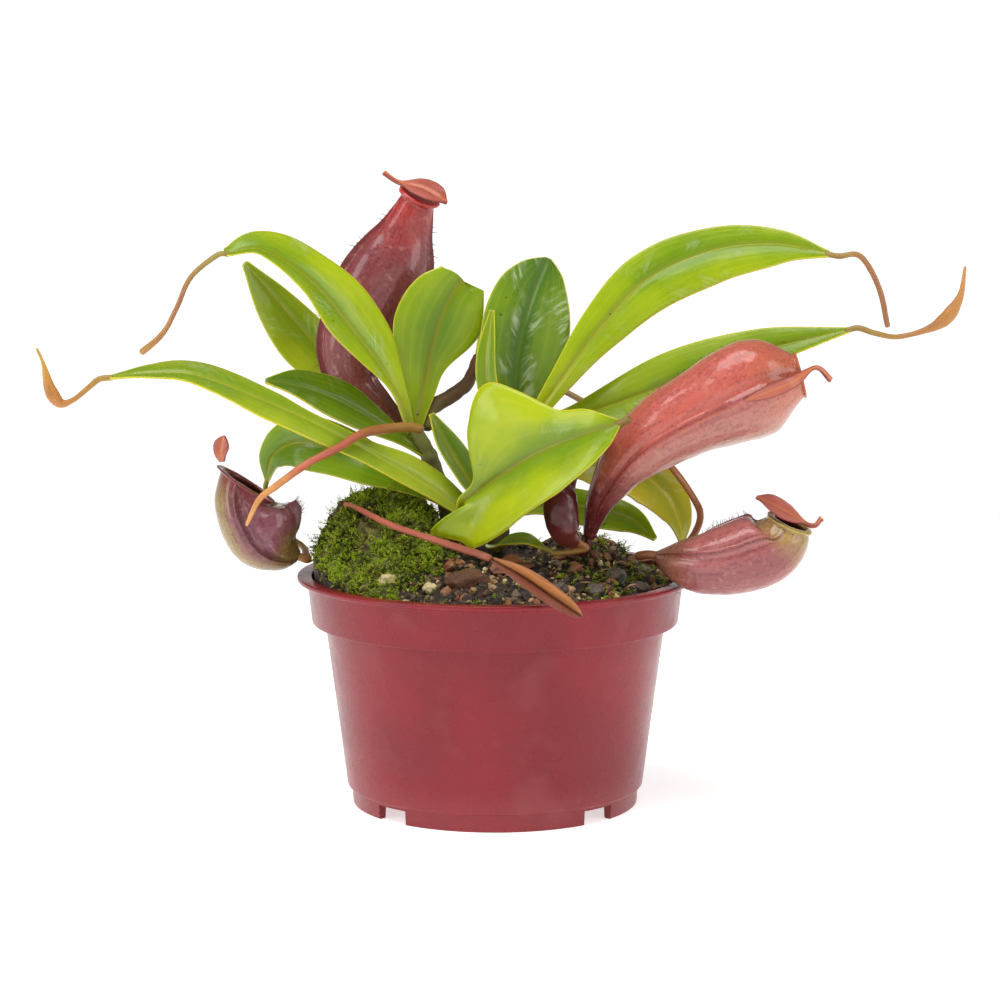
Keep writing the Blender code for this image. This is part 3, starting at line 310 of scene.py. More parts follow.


# each look's last number is the leaf's share of painted glare
GREEN = LeafLook(*tints((152, 173, 16), (103, 138, 8), (155, 150, 29), (208, 192, 46)), 0.35)
LEAF_LOOKS = {
    "leaf_upper_left": GREEN._replace(light=tint(166, 183, 18), deep=tint(112, 144, 10), bloom=0.6),
    "leaf_rear_left": GREEN._replace(light=tint(159, 173, 29), deep=tint(110, 136, 18), bloom=1.0),
    "leaf_short_left": GREEN._replace(
        light=tint(108, 136, 16), deep=tint(69, 101, 8), rib=tint(119, 136, 36)),
    "leaf_long_left": GREEN._replace(
        light=tint(157, 171, 37), deep=tint(112, 140, 19), rib=tint(172, 177, 50)),
    "leaf_low_left": GREEN._replace(light=tint(130, 157, 17), deep=tint(90, 126, 8)),
    "leaf_notched": GREEN._replace(
        light=tint(139, 161, 11), deep=tint(92, 126, 6), rib=tint(141, 126, 24), bloom=0.1),
    "leaf_upright": GREEN._replace(
        light=tint(112, 142, 22), deep=tint(65, 103, 10), rib=tint(94, 122, 24), bloom=1.3),
    "leaf_upright_young": GREEN._replace(light=tint(152, 171, 36)),
    "leaf_front": GREEN._replace(
        light=tint(166, 180, 7), deep=tint(108, 138, 10), rib=tint(132, 115, 29), bloom=0.15),
    "leaf_upper_right": GREEN._replace(light=tint(159, 177, 16), bloom=0.6),
    "leaf_long_right": GREEN,
    "leaf_low_right": LeafLook(
        *tints((184, 167, 40), (137, 140, 20), (204, 185, 67), (197, 167, 50)), 0.8),
    "leaf_strap": GREEN._replace(light=tint(116, 146, 16), deep=tint(78, 111, 7)),
}

PITCHER_LOOKS = {
    "pitcher_top": PitcherLook(*tints((128, 60, 62), (122, 50, 48), (100, 42, 40), (104, 50, 42),
                               (176, 52, 44), (140, 44, 36), (84, 28, 34))),
    "pitcher_right": PitcherLook(*tints((188, 92, 78), (172, 112, 100), (172, 132, 100), (92, 34, 34),
                                 (184, 100, 66), (112, 40, 34), (132, 52, 54))),
    "pitcher_left": PitcherLook(*tints((126, 70, 82), (142, 118, 62), (140, 116, 62), (122, 100, 54),
                                (128, 50, 50), (104, 48, 38), (74, 30, 40))),
    "pitcher_low_right": PitcherLook(*tints((170, 98, 94), (140, 72, 74), (158, 94, 84), (136, 88, 66),
                                     (166, 146, 72), (104, 48, 38), (98, 38, 46))),
}
LID_LOOK = LeafLook(*tints((204, 118, 98), (160, 78, 68), (206, 126, 76), (126, 50, 48)), 0.5)

BROWN_STALK = StalkLook(*tints((138, 134, 44), (150, 112, 50), (158, 104, 52), (100, 56, 30)))
STALK_LOOKS = {
    "stalk_old": StalkLook(*tints((104, 96, 40), (100, 72, 40), (104, 56, 34), (60, 44, 24))),
    "tendril_bare": StalkLook(*tints((150, 110, 44), (176, 90, 66), (206, 150, 84), (120, 54, 42))),
    "tendril_upper_left": StalkLook(*tints((150, 132, 60), (160, 108, 66), (176, 130, 70), (118, 74, 44))),
    "tendril_long_left": StalkLook(*tints((158, 124, 50), (176, 116, 56), (196, 150, 54), (120, 78, 40))),
    "tendril_front": StalkLook(*tints((134, 108, 46), (110, 66, 42), (92, 38, 34), (80, 36, 28))),
    "tendril_upper_right": StalkLook(*tints((154, 124, 60), (160, 108, 66), (158, 106, 66), (118, 74, 44))),
    "tendril_long_right": StalkLook(*tints((150, 122, 50), (170, 116, 60), (190, 132, 70), (120, 70, 50))),
    "tendril_rear": StalkLook(*tints((140, 110, 56), (156, 96, 52), (142, 88, 54), (104, 58, 34))),
    "tendril_dry": StalkLook(*tints((176, 96, 76), (168, 88, 68), (140, 74, 54), (112, 52, 42))),
}


class Wire:
    """A socket that takes Python's arithmetic: each sign adds the Math node that does it."""

    def __init__(self, finish, socket):
        self.finish = finish
        self.socket = socket

    def maths(self, operation, *values):
        sockets = dict(enumerate(values))
        return self.finish.node("ShaderNodeMath", {"operation": operation}, sockets)

    def __add__(self, other):
        return self.maths("ADD", self, other)

    def __sub__(self, other):
        return self.maths("SUBTRACT", self, other)

    def __rsub__(self, other):
        return self.maths("SUBTRACT", other, self)

    def __mul__(self, other):
        return self.maths("MULTIPLY", self, other)

    def __truediv__(self, other):
        return self.maths("DIVIDE", self, other)

    def __abs__(self):
        return self.maths("ABSOLUTE", self)

    __radd__ = __add__
    __rmul__ = __mul__

    def sine(self):
        return self.maths("SINE", self)

    def between(self, low, high):
        """0 below `low` and 1 above `high`, or the other way round where low is above high."""
        sockets = {"Value": self, "From Min": low, "From Max": high}
        return self.finish.node("ShaderNodeMapRange", {"interpolation_type": "SMOOTHSTEP"}, sockets)


class Finish:
    """A material in the making. Its coordinates are in millimetres."""

    def __init__(self, name, constants):
        self.material = bpy.data.materials.new(name)
        self.material.use_nodes = True
        self.tree = self.material.node_tree
        self.shader = self.tree.nodes["Principled BSDF"]
        for socket, value in constants.items():
            self.shader.inputs[socket].default_value = value
        metres = self.node("ShaderNodeTexCoord", out="Object")
        self.place = self.node("ShaderNodeVectorMath", {"operation": "SCALE"}, {0: metres, "Scale": 1 / MM})

    def node(self, kind, settings=None, sockets=None, out=0):
        """Adds a node: its settings first, then its sockets' values or links; gives one output."""
        made = self.tree.nodes.new(kind)
        for setting, value in (settings or {}).items():
            setattr(made, setting, value)
        for socket, value in (sockets or {}).items():
            self.feed(made.inputs[socket], value)
        return Wire(self, made.outputs[out])

    def feed(self, socket, value):
        if isinstance(value, Wire):
            self.tree.links.new(value.socket, socket)
        else:
            socket.default_value = value

    def mix(self, share, first, second, blend="MIX"):
        settings = {"data_type": "RGBA", "blend_type": blend}
        return self.node("ShaderNodeMix", settings, {0: share, 6: first, 7: second}, out=2)

    def mark(self, name):
        """The three numbers of a named mark on the mesh."""
        vector = self.node("ShaderNodeAttribute", {"attribute_name": name}, out="Vector")
        split = self.tree.nodes.new("ShaderNodeSeparateXYZ")
        self.feed(split.inputs[0], vector)
        return [Wire(self, socket) for socket in split.outputs]

    def axes(self):
        """The place's three coordinates, in millimetres; the frame's floor is at height 0."""
        split = self.tree.nodes.new("ShaderNodeSeparateXYZ")
        self.feed(split.inputs[0], self.place)
        return [Wire(self, socket) for socket in split.outputs]

    def join(self, x, y, z):
        return self.node("ShaderNodeCombineXYZ", None, {0: x, 1: y, 2: z})

    def cloud(self, size, detail=2.0, where=None, rough=0.5):
        """Soft noise from 0 to 1, with lumps of about `size` millimetres."""
        sockets = {"Vector": where or self.place, "Scale": 1.0 / size, "Detail": detail, "Roughness": rough}
        return self.node("ShaderNodeTexNoise", None, sockets, out="Fac")

    def cells(self, size, where=None):
        """The distance to the nearest of scattered points about `size` apart, from 0 to 1."""
        sockets = {"Vector": where or self.place, "Scale": 1.0 / size}
        return self.node("ShaderNodeTexVoronoi", None, sockets, out="Distance")

    def paint(self, colour, roughness, height, depth):
        """Feeds the shader; `height` is a bump of `depth` millimetres."""
        self.feed(self.shader.inputs["Base Color"], colour)
        self.feed(self.shader.inputs["Roughness"], roughness)
        bump = self.node("ShaderNodeBump", None, {"Height": height, "Distance": depth * MM})
        self.feed(self.shader.inputs["Normal"], bump)
        return self.material


def in_frame(points):
    """Millimetres from the pot's foot to the frame's metres."""
    return np.asarray(points, float) * MM + POT_FOOT


def smooth(knots, where):
    """Values on the smooth curve through evenly spaced numbers or points, at places from 0 to 1."""
    knots = np.asarray(knots, float)
    last = len(knots) - 1
    place = np.clip(np.asarray(where, float), 0.0, 1.0) * last
    i = np.minimum(place.astype(int), last - 1)
    f = place - i
    if knots.ndim > 1:
        f = f[..., None]
    padded = np.concatenate([[2 * knots[0] - knots[1]], knots, [2 * knots[-1] - knots[-2]]])
    before, a, b, after = (padded[i + k] for k in range(4))
    square = 2 * before - 5 * a + 4 * b - after
    cube = 3 * a - before - 3 * b + after
    return 0.5 * (2 * a + (b - before) * f + square * f**2 + cube * f**3)


def even_path(points, steps):
    """Points at equal distances along the smooth curve through `points`."""
    fine = smooth(points, np.linspace(0.0, 1.0, steps * 10 + 1))
    reached = run_of(fine)
    wanted = np.linspace(0.0, reached[-1], steps + 1)
    return np.column_stack([np.interp(wanted, reached, fine[:, axis]) for axis in range(3)])


def run_of(path):
    """The distance run along a path at each of its points."""
    return np.concatenate([[0.0], np.cumsum(np.linalg.norm(np.diff(path, axis=0), axis=1))])


def at_places(values, t):
    """The rows of a path's values at places `t` along it, from 0 to 1."""
    rows = np.arange(len(values))
    return np.column_stack([np.interp(t * rows[-1], rows, values[:, axis]) for axis in range(3)])


def unit(vectors):
    return vectors / np.linalg.norm(vectors, axis=-1, keepdims=True)


def headings(path):
    return unit(np.gradient(path, axis=0))


def square_to(directions, along):
    """The part of each direction that is square to the heading, at unit length."""
    return unit(directions - along * (directions * along).sum(-1, keepdims=True))


def ease(value, low, high):
    """0 below `low`, 1 above `high`, and a soft step between."""
    share = np.clip((np.asarray(value, float) - low) / (high - low), 0.0, 1.0)
    return share * share * (3.0 - 2.0 * share)


def clouds(points, size, seed=0.0):
    """Soft noise from -1 to 1 at each point, with lumps of about `size` millimetres."""
    flat = np.asarray(points, float).reshape(-1, 3) / size + seed
    values = [noise.noise(Vector(point)) for point in flat]
    return np.array(values).reshape(np.shape(points)[:-1])


def mesh_piece(name, points, faces, marks=None):
    """An object of one mesh, with its faces turned outwards and its marks as named vectors."""
    mesh = bpy.data.meshes.new(name)
    mesh.from_pydata(in_frame(points).tolist(), [], faces)
    work = bmesh.new()
    work.from_mesh(mesh)
    bmesh.ops.recalc_face_normals(work, faces=work.faces)
    work.to_mesh(mesh)
    work.free()
    for mark, values in (marks or {}).items():
        layer = mesh.attributes.new(mark, "FLOAT_VECTOR", "POINT")
        layer.data.foreach_set("vector", np.asarray(values, np.float32).ravel())
    mesh.shade_smooth()
    piece = bpy.data.objects.new(name, mesh)
    bpy.context.scene.collection.objects.link(piece)
    return piece


def loft(rings):
    """Points and faces of a closed skin through rings of equal count, closed by a point at each end."""
    rows, count = rings.shape[:2]
    points = np.concatenate([rings.reshape(-1, 3), [rings[0].mean(0), rings[-1].mean(0)]])
    near = np.arange(rows * count).reshape(rows, count)
    far = np.roll(near, -1, axis=1)
    faces = np.stack([near[:-1], far[:-1], far[1:], near[1:]], -1).reshape(-1, 4).tolist()
    start = rows * count
    faces += [(start, b, a) for a, b in zip(near[0], far[0])]
    faces += [(start + 1, a, b) for a, b in zip(near[-1], far[-1])]
    return points, faces


def with_ends(values):
    """A mark's values for the points of a loft: those of its rings, then of its two end points."""
    return np.concatenate([values.reshape(-1, 3), [values[0].mean(0), values[-1].mean(0)]])


def loft_piece(name, rings, marks):
    points, faces = loft(rings)
    return mesh_piece(name, points, faces, {mark: with_ends(values) for mark, values in marks.items()})


class Heap:
    """Many small closed shapes that make one mesh, each with its own mark."""

    def __init__(self):
        self.points = []
        self.faces = []
        self.marks = []
        self.count = 0

    def add(self, points, faces, mark):
        self.points.append(points)
        self.faces += [tuple(corner + self.count for corner in face) for face in faces]
        marks = np.asarray(mark, float)
        self.marks.append(np.broadcast_to(marks, (len(points), 3)))
        self.count += len(points)

    def piece(self, name, faceted=False):
        marks = {"lump": np.concatenate(self.marks)}
        piece = mesh_piece(name, np.concatenate(self.points), self.faces, marks)
        if faceted:
            piece.data.shade_flat()
        return piece


def settle(piece, finish, slot, *nodes):
    """Gives a piece its finish, sets it on the plant and lets it stand for its nodes; the slot is not used.
    """
    piece.data.materials.append(finish)
    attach(piece, "root")
    if nodes:
        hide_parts(*nodes)
    return piece


def blade_rows(blade, t):
    """The path, heading, upper side and left side of a blade at places `t` along it."""
    path = even_path(blade.midrib, PATH_STEPS)
    path, along = at_places(path, t), unit(at_places(headings(path), t))
    face = np.outer(1 - t, blade.face[0]) + np.outer(t, blade.face[1])
    up = square_to(face, along)
    return path, along, up, np.cross(up, along)


def blade_width(blade, t, u):
    """The half width at each row on the side where u lies, rounded off past the blunt end."""
    left = np.maximum(smooth(blade.left, t), 0.6)
    right = np.maximum(smooth(blade.right, t), 0.6)
    width = np.where(u >= 0, left, right)
    if blade.blunt < 1.0:
        past = np.clip((t - blade.blunt) / (1.0 - blade.blunt), 0.0, 0.96)
        width = width * np.sqrt(1.0 - past**2)
    return width


def blade_surface(blade, t, u):
    """Points of a blade's upper side and the upward direction there; t and u have the same shape."""
    path, along, up, left = (part.reshape(*t.shape, 3) for part in blade_rows(blade, t.ravel()))
    side = np.where(u >= 0, 0, 1)
    reach = np.abs(u) * blade_width(blade, t, u)
    lift = np.radians(np.take(blade.lift, side))
    height, count = blade.wave
    ripple = height * u * u * np.sin(np.pi * t) * np.sin(2 * np.pi * count * t + side * 2.0)
    rise = reach * (np.sin(lift) - np.take(blade.curl, side) * np.abs(u)) + ripple
    aside = np.copysign(reach * np.cos(lift), u)
    back = np.take(blade.sweep, side) * reach * np.minimum(1.0, reach / 8.0) * (1.0 - t)
    points = path + left * aside[..., None] + up * rise[..., None] - along * back[..., None]
    for place, across, long_reach, wide_reach, move in blade.pulls:
        felt = np.exp(-(((t - place) / long_reach) ** 2) - ((u - across) / wide_reach) ** 2)
        points = points + felt[..., None] * np.array(move, float)
    return points, up, reach


def blade_piece(name, blade, rows, columns, edge, relief=0.35, seed=0.0):
    """A leaf with a groove over its rib and a keel under it, waved softly and closed all round."""
    spread = np.linspace(1.0, -1.0, columns + 1)
    spread = np.sign(spread) * np.abs(spread) ** 1.4
    t, u = np.meshgrid(np.linspace(0.0, 1.0, rows + 1), spread, indexing="ij")
    points, up, reach = blade_surface(blade, t, u)
    width = blade_width(blade, t, u)
    thick_rib = blade.stalk + (1.1 - blade.stalk) * np.minimum(1.0, 1.6 * t)
    near_rib = np.exp(-((reach / 1.3) ** 2))
    thick = edge + (thick_rib - edge) * near_rib
    open_blade = ease(width, 2.0, 5.0)
    lumps = clouds(points, 13.0, seed) * relief * np.minimum(1.0, reach / 4.0)
    groove = -0.3 * np.exp(-((reach / 0.8) ** 2)) * open_blade
    upper = points + up * (lumps + groove)[..., None]
    lower = points + up * (lumps - thick)[..., None]
    rings = np.concatenate([upper, lower[:, ::-1]], axis=1)
    length = run_of(even_path(blade.midrib, 100))[-1]
    signed = np.copysign(reach, u)
    rib = np.stack([signed, t * length, t], -1)
    rim_top = np.stack([width * (1 - np.abs(u)), np.ones_like(u), np.abs(u)], -1)
    rim_low = np.stack([width * (1 - np.abs(u)), np.zeros_like(u), np.abs(u)], -1)
    marks = {
        "rib": np.concatenate([rib, rib[:, ::-1]], axis=1),
        "rim": np.concatenate([rim_top, rim_low[:, ::-1]], axis=1),
    }
    return loft_piece(name, rings, marks)


def leaf_tip(blade):
    """The middle of a leaf's tip and the way it points."""
    path, along, up, _ = blade_rows(blade, np.array([1.0]))
    return path[0] - up[0] * 0.5, along[0]


def pitcher_foot(name):
    """Where a pitcher's base starts and the way it leaves."""
    if name == "pitcher_young":
        path = stalk_path(YOUNG_PITCHER, 48)
    else:
        path = even_path(PITCHERS[name].axis, 48)
    return path[0], headings(path)[0]


def stalk_path(stalk, steps):
    """The stalk's path, which starts inside its leaf's tip and ends inside its pitcher's base."""
    points = [np.array(point, float) for point in stalk.points]
    if stalk.after:
        tip, along = leaf_tip(LEAVES[stalk.after])
        points = [tip - along * 1.2, tip + along * 3.0] + points
    if stalk.before:
        foot, along = pitcher_foot(stalk.before)
        points += [foot - along * 3.0, foot + along * 0.8]
    return even_path(np.array(points), steps)


def tube(path, radii, sides):
    """Rings round a path; `radii` has one radius for each of its points."""
    along = headings(path)
    start = np.cross(along[0], (0.0, 0.0, 1.0) if abs(along[0][2]) < 0.9 else (1.0, 0.0, 0.0))
    across = [unit(start)]
    for direction in along[1:]:
        across.append(square_to(across[-1], direction))
    across = np.array(across)
    other = np.cross(along, across)
    turn = np.linspace(0.0, 2 * np.pi, sides, endpoint=False)
    ring = np.cos(turn)[None, :, None] * across[:, None] + np.sin(turn)[None, :, None] * other[:, None]
    return path[:, None] + ring * np.reshape(radii, (-1, 1, 1))


def stalk_piece(name, stalk, steps, sides, swell=0.08, shape=None):
    """A stalk with slightly uneven sides; its marks are its turn, run and share of length."""
    path = stalk_path(stalk, steps)
    t = np.linspace(0.0, 1.0, steps + 1)
    radii = smooth(stalk.radii, t)
    radii[0] *= 0.7
    radii[-1] *= 0.5
    rings = tube(path, radii, sides)
    rings += (rings - path[:, None]) * (clouds(rings, 3.0) * swell)[..., None]
    if shape:
        rings = shape(rings, t)
    turn = np.broadcast_to(np.linspace(0.0, 1.0, sides, endpoint=False), (steps + 1, sides))
    run = np.broadcast_to(run_of(path)[:, None], turn.shape)
    share = np.broadcast_to(t[:, None], turn.shape)
    marks = {"round": np.stack([np.cos(2 * np.pi * turn), np.sin(2 * np.pi * turn), share], -1),
             "run": np.stack([run, share, turn], -1)}
    return loft_piece(name, rings, marks)


def pitcher_angles(wing_angle):
    """Angles round a pitcher, in degrees from its front, dense at its two wings."""
    fin = np.array([-6.0, -4.5, -3.2, -2.2, -1.3, -0.6, 0.0, 0.6, 1.3, 2.2, 3.2, 4.5, 6.0])
    even = np.arange(0.0, 360.0, 3.75)
    crests = np.array([wing_angle, 360.0 - wing_angle])
    clear = np.abs(even[:, None] - crests).min(1) > 8.0
    return np.sort(np.concatenate([even[clear], crests[0] + fin, crests[1] + fin]))


def pitcher_rings(pitcher, t, inset, lift, angles, fin=1.0, ribs=0.0):
    """Rings of a pitcher's wall at places t, inset inside its outer face and lifted along its axis."""
    path = even_path(pitcher.axis, PATH_STEPS)
    path, along = at_places(path, t), unit(at_places(headings(path), t))
    front = square_to(np.broadcast_to(np.array(pitcher.front, float), along.shape), along)
    side = np.cross(along, front)
    width = np.maximum(smooth(pitcher.widths, t) - inset, 0.5)
    depth = np.maximum(smooth(pitcher.depths, t) - inset, 0.5)
    slope = pitcher.slope * np.maximum(0.0, (t - 0.6) / 0.4)
    wing_angle, wing_height = pitcher.wings
    crest = fin * wing_height * np.clip(np.minimum(4.0 * t, 6.0 * (1.0 - t)), 0.0, 1.0)
    away = np.minimum(np.abs(angles - wing_angle), np.abs(angles - (360.0 - wing_angle)))
    turn = np.radians(angles)
    out = (front[:, None] * (np.cos(turn)[None] * depth[:, None])[..., None]
           + side[:, None] * (np.sin(turn)[None] * width[:, None])[..., None])
    fin_shape = np.clip(1.0 - away / 5.5, 0.0, 1.0) ** 1.6
    crease = -0.35 * np.exp(-(((away - 9.0) / 3.5) ** 2))
    ridge = ribs * np.cos(turn * 90.0)
    out += unit(out) * (crest[:, None] * (fin_shape + crease)[None] + ridge[None])[..., None]
    lowered = slope[:, None] * np.cos(turn - math.radians(pitcher.lean))[None] * depth[:, None]
    return path[:, None] + out + along[:, None] * (np.reshape(lift, (-1, 1)) - lowered)[..., None]


def pitcher_piece(name, pitcher, rows=84, seed=0.0):
    """A hollow pitcher with winged, softly dented walls and a ribbed, rolled lip."""
    angles = pitcher_angles(pitcher.wings[0])
    t = np.linspace(0.0, 1.0, rows + 1)
    outer = pitcher_rings(pitcher, t, 0.0, 0.0, angles)
    middle = outer.mean(1, keepdims=True)
    dents = clouds(outer, 9.0, seed) * 0.35 + clouds(outer, 2.6, seed) * 0.07
    outer = outer + unit(outer - middle) * (dents * ease(t, 0.0, 0.2)[:, None])[..., None]
    roll = np.linspace(0.1, 1.0, 9) * np.pi
    lip_inset = -pitcher.lip * np.sin(roll) + 1.0 * ease(roll, 1.6, 3.14)
    lip_lift = pitcher.lip * 0.75 * (1.0 - np.cos(roll)) * np.where(roll > 2.4, 0.85, 1.0)
    ends = np.ones(len(roll))
    lip = pitcher_rings(pitcher, ends, lip_inset, lip_lift, angles, 0.0, 0.12)
    down = np.linspace(0.985, pitcher.floor, 30)
    inner = pitcher_rings(pitcher, down, 1.0, 0.0, angles, 0.0)
    rings = np.concatenate([outer, lip, inner])
    share = np.concatenate([t, ends, down])
    inside = np.concatenate([t * 0.0, ends * 0.5, down * 0.0 + 1.0])
    length = run_of(even_path(pitcher.axis, 100))[-1]
    shape = (len(share), len(angles))
    turn = np.broadcast_to(np.radians(angles), shape)
    spread = lambda values: np.broadcast_to(np.reshape(values, (-1, 1)), shape)
    away = np.minimum(np.abs(angles - pitcher.wings[0]), np.abs(angles - 360.0 + pitcher.wings[0]))
    near = np.broadcast_to(np.clip(1.0 - away / 7.0, 0.0, 1.0), shape)
    marks = {"round": np.stack([np.cos(turn), np.sin(turn), spread(share)], -1),
             "wall": np.stack([spread(share * length), spread(inside), near], -1)}
    return loft_piece(name, rings, marks)


def turned_piece(name, profile, sides):
    """A turned solid from a profile of (radius, height) that starts and ends on the axis."""
    profile = np.array(profile)
    turn = np.linspace(0.0, 2 * np.pi, sides, endpoint=False)
    rings = np.stack([
        profile[1:-1, 0, None] * np.cos(turn),
        profile[1:-1, 0, None] * np.sin(turn),
        np.repeat(profile[1:-1, 1, None], sides, axis=1),
    ], -1)
    points, faces = loft(rings)
    points[-2:] = [(0.0, 0.0, profile[0, 1]), (0.0, 0.0, profile[-1, 1])]
    return mesh_piece(name, points, faces)


def rounded(profile, radius, steps=3):
    """The profile with its inner corners rounded off."""
    profile = np.array(profile, float)
    out = [profile[0]]
    for before, corner, after in zip(profile, profile[1:], profile[2:]):
        reach = min(radius, np.linalg.norm(corner - before) / 2.1, np.linalg.norm(after - corner) / 2.1)
        start = corner + unit(before - corner) * reach
        end = corner + unit(after - corner) * reach
        for f in np.linspace(0.0, 1.0, steps + 1):
            out.append((1 - f) ** 2 * start + 2 * f * (1 - f) * corner + f**2 * end)
    return out + [profile[-1]]


def body_radius(height):
    """The pot's outer radius below its collar."""
    collar_foot = POT_HEIGHT - COLLAR_HEIGHT
    body_top = COLLAR_RADIUS - COLLAR_TAPER - COLLAR_STEP
    return BASE_RADIUS + (body_top - BASE_RADIUS) * (height - FOOT_HEIGHT) / (collar_foot - FOOT_HEIGHT)


def pot_profile():
    """The pot from the middle of its floor, up the inside, over the lip and down the outside."""
    collar_foot = POT_HEIGHT - COLLAR_HEIGHT
    collar_low = COLLAR_RADIUS - COLLAR_TAPER
    foot = BASE_RADIUS - FOOT_INSET
    floor_top = FOOT_HEIGHT + WALL
    return [
        (0.0, floor_top),
        (body_radius(floor_top) - WALL, floor_top),
        (body_radius(collar_foot) - WALL, collar_foot + WALL),
        (collar_low - WALL, collar_foot + WALL),
        (COLLAR_RADIUS - WALL, POT_HEIGHT),
        (LIP_RADIUS, POT_HEIGHT),
        (LIP_RADIUS, POT_HEIGHT - LIP_THICKNESS),
        (COLLAR_RADIUS, POT_HEIGHT - 1.6 * LIP_THICKNESS),
        (collar_low, collar_foot),
        (body_radius(collar_foot), collar_foot - 0.4),
        (BASE_RADIUS, FOOT_HEIGHT),
        (foot, FOOT_HEIGHT - 0.4),
        (foot - 0.3, 0.0),
        (foot - 0.3 - 2 * WALL, 0.0),
        (foot - 0.6 - 2 * WALL, FOOT_HEIGHT),
        (0.0, FOOT_HEIGHT),
    ]


def cut(piece, cutters):
    """Takes the cutters out of a piece's mesh and removes them."""
    for cutter in cutters:
        boolean = piece.modifiers.new("cut", "BOOLEAN")
        boolean.object = cutter
    bpy.context.view_layer.update()
    evaluated = piece.evaluated_get(bpy.context.evaluated_depsgraph_get())
    mesh = bpy.data.meshes.new_from_object(evaluated)
    piece.modifiers.clear()
    piece.data = mesh
    for cutter in cutters:
        bpy.data.objects.remove(cutter)


def swing(angle):
    """What points are multiplied by to turn them round the vertical."""
    cosine, sine = math.cos(angle), math.sin(angle)
    return np.array([[cosine, sine, 0], [-sine, cosine, 0], [0, 0, 1]])


def block(name, middle, size, angle):
    """A box to cut with, turned round the vertical."""
    corners = np.array([(x, y, z) for x in (-0.5, 0.5) for y in (-0.5, 0.5) for z in (-0.5, 0.5)]) * size
    faces = [(0, 1, 3, 2), (4, 6, 7, 5), (0, 4, 5, 1), (2, 3, 7, 6), (0, 2, 6, 4), (1, 5, 7, 3)]
    return mesh_piece(name, corners @ swing(angle) + middle, faces)


def soil_height(x, y):
    """The soil's surface: a low crown, the mound at the left, and soft lumps."""
    radius = np.hypot(x, y)
    crown = SOIL_CROWN * np.maximum(0.0, 1.0 - (radius / 58.0) ** 2)
    mound = 0.0
    for middle_x, middle_y, half_width, half_depth, height in (MOUND, SHOULDER, RISE):
        across = np.abs(x - middle_x) / half_width
        deep = np.abs(y - middle_y) / half_depth
        mound = mound + height * np.exp(-(across**4) - deep**2)
    flat = np.stack([x, y, np.zeros_like(x)], -1)
    return SOIL_RIM_HEIGHT + crown + mound + 1.3 * clouds(flat, 9.0)


def moss_share(x, y):
    """How thickly moss grows at a place: 1 over the front of the mound, 0 elsewhere."""
    share = np.hypot(x, y) / SOIL_RADIUS
    angle = np.degrees(np.arctan2(y, x)) % 360.0
    flat = np.stack([x, y, np.zeros_like(x)], -1)
    angle = angle + 9.0 * clouds(flat, 10.0, 7.0)
    share = share + 0.05 * clouds(flat, 7.0, 3.0)
    inside = ease(share, 0.30, 0.40) * ease(angle, 146.0, 160.0) * (1.0 - ease(angle, 222.0, 242.0))
    return inside * (1.0 - ease(share, 0.97, 1.02))


def ball(subdivisions):
    """The points and faces of a ball of unit size."""
    work = bmesh.new()
    bmesh.ops.create_icosphere(work, subdivisions=subdivisions, radius=0.5)
    points = np.array([vertex.co[:] for vertex in work.verts])
    faces = [tuple(vertex.index for vertex in face.verts) for face in work.faces]
    work.free()
    return points, faces


def lump_shapes(count, subdivisions, rng):
    """A few rough lumps about the origin, of unit size, as points and faces."""
    shapes = []
    for _ in range(count):
        points, faces = ball(subdivisions)
        shift = rng.uniform(-50, 50, 3)
        rough = 1.0 + 0.45 * clouds(points, 0.45, shift) + 0.18 * clouds(points, 0.16, shift)
        shapes.append((points * rough[:, None], faces))
    return shapes


def turned_at_random(points, rng):
    """The points under a random rotation."""
    q = unit(rng.normal(size=4))
    w, x, y, z = q
    matrix = np.array([
        [1 - 2 * (y * y + z * z), 2 * (x * y - z * w), 2 * (x * z + y * w)],
        [2 * (x * y + z * w), 1 - 2 * (x * x + z * z), 2 * (y * z - x * w)],
        [2 * (x * z - y * w), 2 * (y * z + x * w), 1 - 2 * (x * x + y * y)],
    ])
    return points @ matrix.T


def scattered(rng, count, inner=0.0, outer=0.97):
    """Random places on the soil."""
    radius = SOIL_RADIUS * np.sqrt(rng.uniform(inner**2, outer**2, count))
    angle = rng.uniform(0.0, 2 * np.pi, count)
    return radius * np.cos(angle), radius * np.sin(angle)


class PotSettings(bpy.types.PropertyGroup):
    """The nursery pot."""
    plastic: bpy.props.FloatVectorProperty(
        name="Plastic", description="The pot's colour", subtype="COLOR", size=4, min=0, max=1,
        default=tint(128, 26, 34))
    dust: bpy.props.FloatVectorProperty(
        name="Dust", description="The colour of dried dust on the pot", subtype="COLOR", size=4, min=0, max=1,
        default=tint(176, 110, 108))
    sides: bpy.props.IntProperty(name="Sides", description="Sides of the turned pot", default=192, min=48)
    corner: bpy.props.FloatProperty(
        name="Corner", description="Radius of the pot's moulded corners", default=0.5 * MM, unit="LENGTH")


